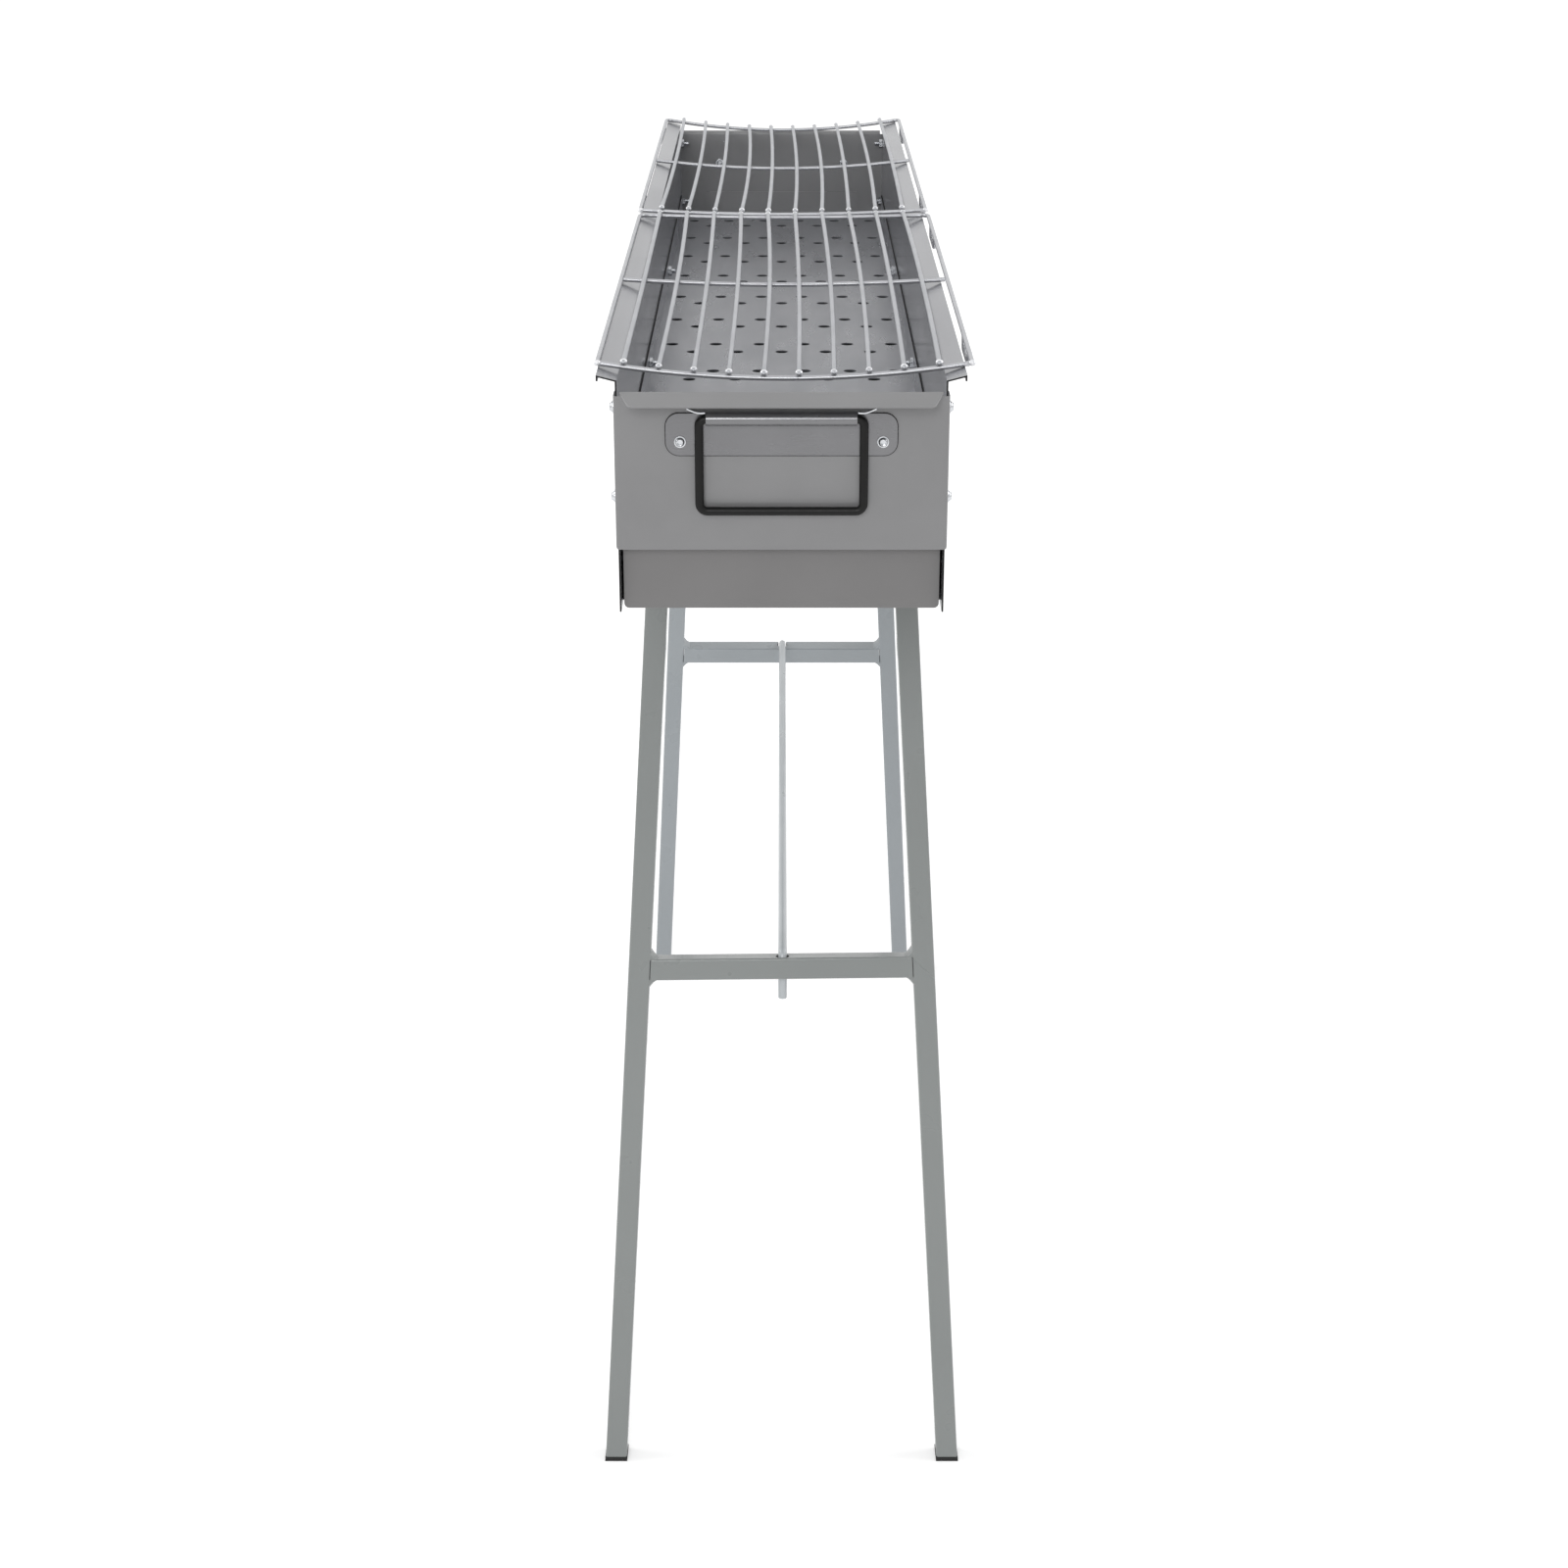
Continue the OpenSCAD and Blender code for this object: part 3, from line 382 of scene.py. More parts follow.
class Paints:
    """The finishes as materials, each made once and handed out by finish."""

    def __init__(self) -> None:
        """Starts with no materials."""
        self._made: dict[str, bpy.types.Material] = {}

    def of(self, finish: Finish) -> bpy.types.Material:
        """The material of a finish."""
        if finish.name not in self._made:
            self._made[finish.name] = finish.material()
        return self._made[finish.name]

    def dress(self, piece: bpy.types.Object, finish: Finish) -> None:
        """Puts one finish on every material slot of a piece."""
        material = self.of(finish)
        if not piece.data.materials:
            piece.data.materials.append(material)
        for i in range(len(piece.data.materials)):
            piece.data.materials[i] = material


PAINTS = Paints()


def to_object(
    name: str, mesh: bmesh.types.BMesh, smooth_angle: float = 35, keep_normals: bool = False
) -> bpy.types.Object:
    """Makes a scene object from a finished bmesh.

    Args:
        name: The piece's name.
        mesh: The mesh, in metres, which this frees.
        smooth_angle: Edges flatter than this many degrees shade smooth.
        keep_normals: True for an open sheet whose faces are already turned the right way.

    Returns:
        The new object, linked to the scene.
    """
    if not keep_normals:
        bmesh.ops.recalc_face_normals(mesh, faces=mesh.faces)
    data = bpy.data.meshes.new(name)
    limit = math.radians(smooth_angle)
    for edge in mesh.edges:
        edge.smooth = len(edge.link_faces) == 2 and edge.calc_face_angle(0) < limit
    for face in mesh.faces:
        face.smooth = True
    mesh.to_mesh(data)
    mesh.free()
    piece = bpy.data.objects.new(name, data)
    bpy.context.scene.collection.objects.link(piece)
    return piece


def finish_piece(
    piece: bpy.types.Object, body: str, finish: Finish, nodes: Sequence[str] = ()
) -> None:
    """Dresses a new piece and ties it to the frame.

    Args:
        piece: The piece, in place.
        body: The CAD body that it rides on.
        finish: Its finish.
        nodes: The CAD nodes that it stands for.
    """
    PAINTS.dress(piece, finish)
    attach(piece, body)
    if nodes:
        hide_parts(*nodes)
    LOG.info("%s on %s, %d faces", piece.name, body, len(piece.data.polygons))


def soften(
    piece: bpy.types.Object, width: float, angle: float, material: int = -1, segments: int = 2
) -> None:
    """Rounds a piece's sharp edges.

    Args:
        piece: The piece, whose mesh stays as it is.
        width: Width of the rounding in millimetres.
        angle: Edges sharper than this many degrees are rounded.
        material: Index of the rounding's own material, or -1 for that of the faces beside it.
        segments: Number of faces across the rounding.
    """
    edge = piece.modifiers.new("edge", "BEVEL")
    edge.width = width * MM
    edge.segments = segments
    edge.limit_method = "ANGLE"
    edge.angle_limit = math.radians(angle)
    edge.material = material


def flatten(piece: bpy.types.Object) -> None:
    """Keeps a piece's wide faces flat in the light, and leaves the turn to its rounded corners."""
    smooth = piece.modifiers.new("normals", "WEIGHTED_NORMAL")
    smooth.keep_sharp = True


def islands(node: str) -> list[tuple[Vector, Vector]]:
    """Boxes of a CAD node's separate solids.

    Args:
        node: The node's name.

    Returns:
        The lowest and highest corner of each solid, in metres.
    """
    mesh = bmesh.new()
    mesh.from_mesh(frame["nodes"][node].data)
    bmesh.ops.remove_doubles(mesh, verts=mesh.verts, dist=TOUCH)
    waiting = set(mesh.verts)
    boxes = []
    while waiting:
        stack = [waiting.pop()]
        found = []
        while stack:
            vertex = stack.pop()
            found.append(vertex.co.copy())
            for edge in vertex.link_edges:
                other = edge.other_vert(vertex)
                if other in waiting:
                    waiting.remove(other)
                    stack.append(other)
        low = Vector(min(c[i] for c in found) for i in range(3))
        high = Vector(max(c[i] for c in found) for i in range(3))
        boxes.append((low, high))
    mesh.free()
    return sorted(boxes, key=lambda b: (round(b[0].x, 4), round(b[0].y, 4), round(b[0].z, 4)))


def round_corners(half_x: float, half_y: float, radius: float, steps: int) -> list[tuple[float, float]]:
    """Outline of a rectangle with round corners, round its middle.

    Args:
        half_x: Half its first side.
        half_y: Half its second side.
        radius: The corners' radius, in the same unit.
        steps: Number of steps round each corner.

    Returns:
        The points, a quarter turn for each corner.
    """
    points = []
    for turn, (sx, sy) in enumerate(((1, 1), (-1, 1), (-1, -1), (1, -1))):
        for i in range(steps + 1):
            angle = math.pi / 2 * (turn + i / steps)
            points.append((
                sx * (half_x - radius) + radius * math.cos(angle),
                sy * (half_y - radius) + radius * math.sin(angle)))
    return points


def skin(
    mesh: bmesh.types.BMesh, rings: Sequence[list], around: bool = True, ringed: bool = False,
    closed_ends: bool = True,
) -> None:
    """Stretches faces between rows of points, in their order.

    Args:
        mesh: The bmesh that holds the points.
        rings: The rows, each with the same number of points.
        around: True where a row's last point joins its first.
        ringed: True where the last row joins the first.
        closed_ends: True to close the first and the last row with a face.
    """
    count = len(rings[0])
    following = [*rings[1:], rings[0]] if ringed else rings[1:]
    for lower, upper in zip(rings, following):
        for k in range(count if around else count - 1):
            n = (k + 1) % count
            mesh.faces.new((lower[k], lower[n], upper[n], upper[k]))
    if closed_ends:
        mesh.faces.new(rings[0][::-1])
        mesh.faces.new(rings[-1])


def sweep(
    mesh: bmesh.types.BMesh, points: Sequence[Vector], radius: float, up: Vector,
    sides: int = 16, closed: bool = False, dome: bool = True,
) -> None:
    """Sweeps a round wire along points.

    Args:
        mesh: The bmesh that takes the wire.
        points: The wire's middle line, in metres.
        radius: The wire's radius, in metres.
        up: A direction that the line never runs along.
        sides: Number of sides round the wire.
        closed: True for a ring.
        dome: True to round off the ends of an open wire.
    """
    line = [Vector(p) for p in points]
    count = len(line)
    rings = []
    for i, point in enumerate(line):
        before = line[(i - 1) % count] if closed or i else line[i]
        after = line[(i + 1) % count] if closed or i < count - 1 else line[i]
        along = (after - before).normalized()
        across = along.cross(up).normalized()
        rise = across.cross(along)
        rings.append((point, along, across, rise, radius))
    if dome and not closed:
        rings = domed(rings, radius)
    loops = []
    for point, _, across, rise, size in rings:
        loops.append([
            mesh.verts.new(point + size * (
                across * math.cos(math.tau * k / sides) + rise * math.sin(math.tau * k / sides)))
            for k in range(sides)])
    skin(mesh, loops, ringed=closed, closed_ends=not closed)


def domed(rings: list[tuple], radius: float, steps: int = 3, flat: float = 0.6) -> list[tuple]:
    """Adds shrinking rings beyond both ends of an open wire, so that it ends in a dome.

    Args:
        rings: The wire's rings: point, direction, two axes across it, and radius.
        radius: The wire's radius, in metres.
        steps: Number of rings in a dome.
        flat: How much of a step is left flat at the tip.

    Returns:
        All the rings in order.
    """
    def dome_rings(ring: tuple, sign: float) -> list[tuple]:
        """The rings of the dome at one end."""
        point, along, across, rise, _ = ring
        return [
            (point + along * (sign * radius * math.sin(a)), along, across, rise, radius * math.cos(a))
            for a in (math.pi / 2 * (s + 1) / (steps + flat) for s in range(steps))]
    return dome_rings(rings[0], -1)[::-1] + rings + dome_rings(rings[-1], 1)


def turn_rings(
    mesh: bmesh.types.BMesh, rings: Sequence[Ring], place: Matrix, segments: int = 24
) -> None:
    """Turns a closed piece from its rings.

    Args:
        mesh: The bmesh that takes the piece.
        rings: The rings in order, in millimetres, from one end on the axis to the other.
        place: Where the piece's axis and zero height lie, in metres.
        segments: Number of points on a ring, a multiple of six.
    """
    loops = []
    for ring in rings:
        loop = []
        for k in range(segments):
            angle = math.tau * k / segments
            reach = ring.reach(angle) * MM
            local = Vector((reach * math.cos(angle), reach * math.sin(angle), ring.height * MM))
            loop.append(mesh.verts.new(place @ local))
        loops.append(loop)
    skin(mesh, loops)


def place_of(entries: Iterable[dict], name: str) -> Sequence[float]:
    """The place, in metres, that the record gives a joint or a mount."""
    return next(entry["pos_m"] for entry in entries if entry["name"] == name)


def facing(point: Vector, direction: Vector) -> Matrix:
    """A placement whose Z axis looks along a direction from a point."""
    return Matrix.Translation(point) @ direction.to_track_quat("Z", "Y").to_matrix().to_4x4()


@dataclass(frozen=True)
class SocketScrew:
    """A domed screw with a flange under its head, a hexagon socket and a rolled thread."""

    head_d: float
    head_h: float
    shank_d: float
    length: float
    socket: float
    pitch: float = 0.7
    thread_from: float = 3.0
    thread_depth: float = 0.28
    tip: float = 0.2
    socket_floor: float = 0.35
    socket_rim: float = 0.93
    socket_mouth: float = 1.25
    dome: float = 0.8
    dome_foot: float = 0.22
    flange: tuple[tuple[float, float], ...] = ((0.96, 0.2), (1.0, 0.12), (1.0, 0.04), (0.97, 0.0))

    def rings(self) -> list[Ring]:
        """The rings of the screw from the floor of its socket to its tip.

        Returns:
            Rings in millimetres, with zero height under the head.
        """
        head, top, shank, socket = self.head_d / 2, self.head_h, self.shank_d / 2, self.socket / 2
        rings = [
            Ring(socket, top * self.socket_floor, Section.HEX),
            Ring(socket, top * self.socket_rim, Section.HEX),
            Ring(socket * self.socket_mouth, top * 0.98)]
        for degrees in range(36, 91, 9):
            reach = head * self.dome * math.sin(math.radians(degrees))
            rise = self.dome_foot + (1 - self.dome_foot) * math.cos(math.radians(degrees))
            if reach > socket * (self.socket_mouth + 0.07):
                rings.append(Ring(reach, top * rise))
        rings += [Ring(head * wide, top * high) for wide, high in self.flange]
        height = -self.thread_from
        rings += [Ring(shank, 0), Ring(shank, height)]
        while height > -self.length + self.pitch:
            rings.append(Ring(shank - self.thread_depth, height - self.pitch / 2))
            height -= self.pitch
            rings.append(Ring(shank, height))
        rings.append(Ring(shank - self.thread_depth, -self.length + self.tip))
        rings.append(Ring(shank - 2 * self.thread_depth, -self.length))
        return rings


@dataclass(frozen=True)
class HexNut:
    """A chamfered hexagon nut, closed by the screw that runs through it."""

    across_flats: float
    height: float
    bore_d: float
    chamfer: float = 0.35

    def rings(self) -> list[Ring]:
        """The rings of the nut from its seat to its outer face."""
        flat, bore, rise, chamfer = self.across_flats / 2, self.bore_d / 2, self.height, self.chamfer
        return [
            Ring(bore, 0), Ring(flat * 0.97, 0), Ring(flat * 1.02, chamfer / 2),
            Ring(flat, chamfer, Section.HEX), Ring(flat, rise - chamfer, Section.HEX),
            Ring(flat * 1.02, rise - chamfer / 2), Ring(flat * 0.95, rise),
            Ring(bore * 1.15, rise), Ring(bore, rise - chamfer)]


@dataclass
class Fasteners:
    """Every screw and nut, each put where its own CAD solid lies."""

    socket_share: float = 0.42
    small_head_h: float = 2.5
    pivot_head_h: float = 3.5
    pivot_head_d: float = 12.0

    def build(self) -> None:
        """Makes the screws and nuts of the corners, floor, handles and pivots."""
        across = Vector((1, 0, 0))
        along = Vector((0, 1, 0))
        for end in End:
            self.screws(f"corner_bolts_{end.word}", across)
            self.nuts(f"corner_nuts_{end.word}", across, 4)
            self.screws(f"handle_screws_{end.word}", along)
            self.nuts(f"handle_nuts_{end.word}", along, 4)
            self.screws(f"pivot_bolts_{end.word}", across, shank_d=6, pitch=1.0)
            self.nuts(f"pivot_nuts_{end.word}", across, 6)
        self.screws("floor_bolts", across)
        self.nuts("floor_nuts", across, 4)

    def screws(self, node: str, axis: Vector, shank_d: float = 4, pitch: float = 0.7) -> None:
        """Makes the screws of one node, with their heads away from the grill's middle.

        Args:
            node: The CAD node that they stand for.
            axis: The direction that they run along.
            shank_d: Diameter of the shank in millimetres.
            pitch: Thread pitch in millimetres.
        """
        mesh = bmesh.new()
        for low, high in islands(node):
            middle = (low + high) / 2
            outward = axis * (1 if middle.dot(axis) > 0 else -1)
            extent = (high - low).dot(axis) / MM
            head_d = min((high - low).x, (high - low).z) / MM if axis.y else (high - low).z / MM
            head_h = self.pivot_head_h if round(head_d) == self.pivot_head_d else self.small_head_h
            seat = middle + outward * (extent / 2 - head_h) * MM
            screw = SocketScrew(
                head_d, head_h, shank_d, extent - head_h, head_d * self.socket_share, pitch)
            turn_rings(mesh, screw.rings(), facing(seat, outward))
        self.done(node, mesh)

    def nuts(self, node: str, axis: Vector, bore_d: float) -> None:
        """Makes the nuts of one node.

        Args:
            node: The CAD node that they stand for.
            axis: The direction of their bores.
            bore_d: Diameter of the bore in millimetres.
        """
        mesh = bmesh.new()
        for low, high in islands(node):
            middle = (low + high) / 2
            inward = axis * (-1 if middle.dot(axis) > 0 else 1)
            height = (high - low).dot(axis) / MM
            seat = middle - inward * height / 2 * MM
            flats = min(s for i, s in enumerate(high - low) if not axis[i]) / MM
            nut = HexNut(flats, height, bore_d)
            turn_rings(mesh, nut.rings(), facing(seat, inward))
        self.done(node, mesh)

    def done(self, node: str, mesh: bmesh.types.BMesh) -> None:
        """Finishes the turned pieces of one node."""
        finish_piece(to_object(node + "_turned", mesh), "trough", ZINC, [node])


@dataclass
class Grate:
    """One wire grate: a bowed frame, its bars and cross wire, its feet and its weld spots.

    The sags are the bow's depths at the grate's near end, middle and far end. The bars were
    pushed a little sideways at the middle when they were welded, the outer ones less.
    """

    end: End
    frame_d: float = 3.0
    bar_d: float = 3.0
    near_r: float = 3.0
    far_r: float = 6.5
    widen: float = 1.5
    aside: float = 1.0
    sags: tuple[float, float, float] = (8.0, 8.0, 8.0)
    bar_count: int = 10
    bar_pitch: float = 20.1
    bar_shift: float = 0.0
    bow_middle: float = 2.0
    outer_ease: float = 0.45
    wander: float = 0.5
    foot_bend_r: float = 4.0
    foot_spread: float = 3.0
    foot_aside: float = 0.4
    bead_d: float = 4.3
    bead_shape: tuple[float, float, float, float] = (1.0, 0.9, 0.8, 1.0)
    bead_lump: float = 0.2
    lump_gap: float = 2.2
    bead_spots: tuple[tuple[float, float], ...] = ((-0.993, 1.0), (0.0, 0.72), (0.993, 0.9))
    bead_odd: float = 0.07
    bead_lift: float = 0.1
    corner_bead: float = 1.05

    def __post_init__(self) -> None:
        """Reads the grate's place from the frame."""
        low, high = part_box(self.node("frame"))
        self.middle_x = (low.x + high.x) / 2 + self.aside * MM
        self.middle_y = (low.y + high.y) / 2
        radius = self.frame_d / 2 * MM
        self.rail_x = (high.x - low.x) / 2 - radius + self.widen * MM
        self.end_y = (high.y - low.y) / 2 - radius
        self.rail_z = high.z - radius

    def node(self, part: str) -> str:
        """The name of one of the grate's CAD nodes."""
        return f"grate_{self.end.word}_{part}"

    @property
    def body(self) -> str:
        """The body that the grate rides on."""
        return f"{self.end.word}_grate"

    def sag(self, y: float) -> float:
        """Depth of the bow at a distance along the grate, through the three measured depths."""
        near, middle, far = self.sags
        share = y / self.end_y
        return (middle + share * (far - near) / 2 + share ** 2 * ((far + near) / 2 - middle)) * MM

    def at(self, x: float, y: float, lift: float = 0.0) -> Vector:
        """A point over the bowed surface, from distances off the grate's middle in metres."""
        height = self.rail_z - self.sag(y) * (1 - (x / self.rail_x) ** 2)
        return Vector((self.middle_x + x, self.middle_y + y, height + lift))

    def build(self) -> None:
        """Makes and dresses every wire of the grate."""
        self.frame_wire()
        self.bars()
        self.cross_wire()
        self.foot_wires()
        self.beads()

    def done(self, part: str, mesh: bmesh.types.BMesh, finish: Finish) -> None:
        """Finishes the wires that stand for one of the grate's CAD nodes."""
        node = self.node(part)
        finish_piece(to_object(node + "_wire", mesh), self.body, finish, [node])

    def frame_wire(self) -> None:
        """Makes the closed frame wire, tight at its near corners and across its bowed ends."""
        points = []
        for turn, (sx, sy) in enumerate(((1, -1), (1, 1), (-1, 1), (-1, -1))):
            radius = (self.near_r if sy < 0 else self.far_r) * MM
            inner_x, inner_y = self.rail_x - radius, self.end_y - radius
            for step in range(9):
                angle = math.radians(-90 + 90 * turn + 11.25 * step)
                points.append(self.at(
                    sx * inner_x + radius * math.cos(angle), sy * inner_y + radius * math.sin(angle)))
            if turn in (1, 3):
                points += [
                    self.at(sx * inner_x * (1 - 2 * i / 24), sy * self.end_y) for i in range(1, 24)]
            else:
                points += [self.at(sx * self.rail_x, sy * inner_y * (1 - 2 * i / 12)) for i in range(1, 12)]
        mesh = bmesh.new()
        sweep(mesh, points, self.frame_d / 2 * MM, Vector((0, 0, 1)), closed=True)
        self.done("frame", mesh, FRAME_PLATE)

    def bar_line(self, index: int) -> Callable[[float], Vector]:
        """The middle line of one bar.

        Args:
            index: The bar's number from the left.

        Returns:
            A function from the share of the bar's half length, -1 to 1, to a point.
        """
        outermost = (self.bar_count - 1) / 2
        place = index - outermost
        x = (place * self.bar_pitch + self.bar_shift) * MM
        wander = self.wander * math.sin(2.3 * index + self.end.value)
        push = (self.bow_middle * (1 - self.outer_ease * (place / outermost) ** 4) + wander) * MM
        lift = (self.frame_d + self.bar_d) / 2 * MM
        reach = self.end_y + self.frame_d / 2 * MM

        def point(share: float) -> Vector:
            """The point of the bar at a share of its half length."""
            sideways = push * (1 - share ** 2)
            top = self.at(x, share * reach, lift)
            return top + Vector((sideways, 0, 0))
        return point

    def bars(self) -> None:
        """Makes the bars that lie on the frame's ends and on the cross wire."""
        mesh = bmesh.new()
        for index in range(self.bar_count):
            line = self.bar_line(index)
            sweep(mesh, [line(i / 12 - 1) for i in range(25)], self.bar_d / 2 * MM, Vector((0, 0, 1)), 12)
        self.done("bars", mesh, WIRE_PLATE)

    def cross_wire(self) -> None:
        """Makes the bowed wire under the middle of the bars."""
        reach = self.rail_x - self.frame_d / 2 * MM
        lift = (self.frame_d - self.bar_d) / 2 * MM
        mesh = bmesh.new()
        points = [self.at(reach * (1 - i / 20), 0, lift) for i in range(41)]
        sweep(mesh, points, self.bar_d / 2 * MM, Vector((0, 0, 1)), 12, dome=False)
        self.done("cross_wire", mesh, FRAME_PLATE)

    def foot_wires(self) -> None:
        """Makes the bent foot wires under the rails, each as long as its own CAD solid."""
        mesh = bmesh.new()
        radius = self.bar_d / 2 * MM
        bend = self.foot_bend_r * MM
        for low, high in islands(self.node("feet")):
            side = 1 if low.x > 0 else -1
            x = self.middle_x + side * (self.rail_x + radius * self.foot_aside)
            near, far = low.y + radius, high.y - radius
            bottom, top = low.z + radius, self.rail_z - radius
            line = [Vector((x, near - self.foot_spread * MM, top)), Vector((x, near, bottom + bend))]
            for step in range(1, 7):
                angle = math.pi / 2 * step / 6
                line.append(Vector((
                    x, near + bend * (1 - math.cos(angle)), bottom + bend * (1 - math.sin(angle)))))
            line += [Vector((p.x, near + far - p.y, p.z)) for p in line[::-1]]
            sweep(mesh, line, radius, Vector((1, 0, 0)), 12)
        self.done("feet", mesh, FRAME_PLATE)

    def beads(self) -> None:
        """Makes the weld spots where the bars cross the frame and the cross wire, and at its corners."""
        mesh = bmesh.new()
        for index in range(self.bar_count):
            line = self.bar_line(index)
            odd = 1 + self.bead_odd * math.sin(5.1 * index)
            for share, size in self.bead_spots:
                self.bead(mesh, line(share) + Vector((0, 0, self.bead_lift * MM)), size * odd)
        for side in Side:
            self.bead(mesh, self.at(side.value * self.rail_x, -self.end_y), self.corner_bead)
        # The weld spots are painted near white, a painted highlight
        finish_piece(to_object(self.node("welds"), mesh), self.body, WELD_GLINT)

    def bead(self, mesh: bmesh.types.BMesh, spot: Vector, size: float) -> None:
        """Adds one lumpy weld spot.

        Args:
            mesh: The bmesh that takes it.
            spot: Its middle, in metres.
            size: Its size against the usual one.
        """
        scale = Matrix.Diagonal(self.bead_shape)
        made = bmesh.ops.create_uvsphere(
            mesh, u_segments=14, v_segments=9, radius=self.bead_d / 2 * MM * size,
            matrix=Matrix.Translation(spot) @ scale)
        for vertex in made["verts"]:
            bump = noise.noise(vertex.co * per_metre(self.lump_gap))
            vertex.co += (vertex.co - spot).normalized() * bump * self.bead_lump * MM


@dataclass
class Bail:
    """A wire bail that hangs from the sleeve of its handle plate."""

    end: End
    wire_d: float = 5.0
    top_r: float = 3.8
    low_r: float = 4.5

    def build(self) -> None:
        """Makes the closed bail wire in the box of its CAD node."""
        node = f"bail_{self.end.word}"
        low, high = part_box(node)
        radius = self.wire_d / 2 * MM
        y = (low.y + high.y) / 2
        left, right = low.x + radius, high.x - radius
        bottom, top = low.z + radius, high.z - radius
        corners = (
            (right, top, -1, -1, 90, self.top_r), (right, bottom, -1, 1, 0, self.low_r),
            (left, bottom, 1, 1, -90, self.low_r), (left, top, 1, -1, 180, self.top_r))
        points = []
        for x, z, sx, sz, start, bend in corners:
            size = bend * MM
            for step in range(9):
                angle = math.radians(start - 90 * step / 8)
                points.append(Vector((
                    x + sx * size + size * math.cos(angle), y, z + sz * size + size * math.sin(angle))))
        mesh = bmesh.new()
        sweep(mesh, points, radius, Vector((0, 1, 0)), 20, closed=True)
        finish_piece(
            to_object(node + "_wire", mesh), f"{self.end.word}_bail", DIP_COAT, [node])


@dataclass
class TieRod:
    """The rod between the leg frames, with both its ends bent down through the crossbars."""

    rod_d: float = 6.0
    bend_r: float = 6.0
    front_tail: float = 15.0
    rear_tail: float = 13.0

    def build(self) -> None:
        """Makes the rod along the box of its CAD node."""
        low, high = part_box("tie_rod")
        radius, bend = self.rod_d / 2 * MM, self.bend_r * MM
        x, top = (low.x + high.x) / 2, high.z - radius
        front = Vector((x, low.y + radius, top))
        rear = Vector((x, high.y - radius, top))
        way = (rear - front).normalized()
        line = [Vector((x, front.y, low.z))]
        line += self.bent(front, way, bend)
        line += [front.lerp(rear, i / 20) for i in range(1, 20)]
        line += self.bent(rear, -way, bend)[::-1]
        line.append(Vector((x, rear.y, low.z + (self.front_tail - self.rear_tail) * MM)))
        mesh = bmesh.new()
        sweep(mesh, line, radius, Vector((1, 0, 0)), 20, dome=False)
        finish_piece(to_object("tie_rod_bar", mesh), "tie_rod_body", ROD_COAT, ["tie_rod"])

    def bent(self, corner: Vector, way: Vector, bend: float) -> list[Vector]:
        """Points of one bend, from straight down to level.

        Args:
            corner: Where the tail's line meets the rod's line.
            way: The direction of the rod away from the corner.
            bend: The bend's radius in metres.

        Returns:
            The points in order.
        """
        return [
            corner + way * bend * (1 - math.cos(a)) - Vector((0, 0, bend * (1 - math.sin(a))))
            for a in (math.pi / 2 * i / 8 for i in range(9))]


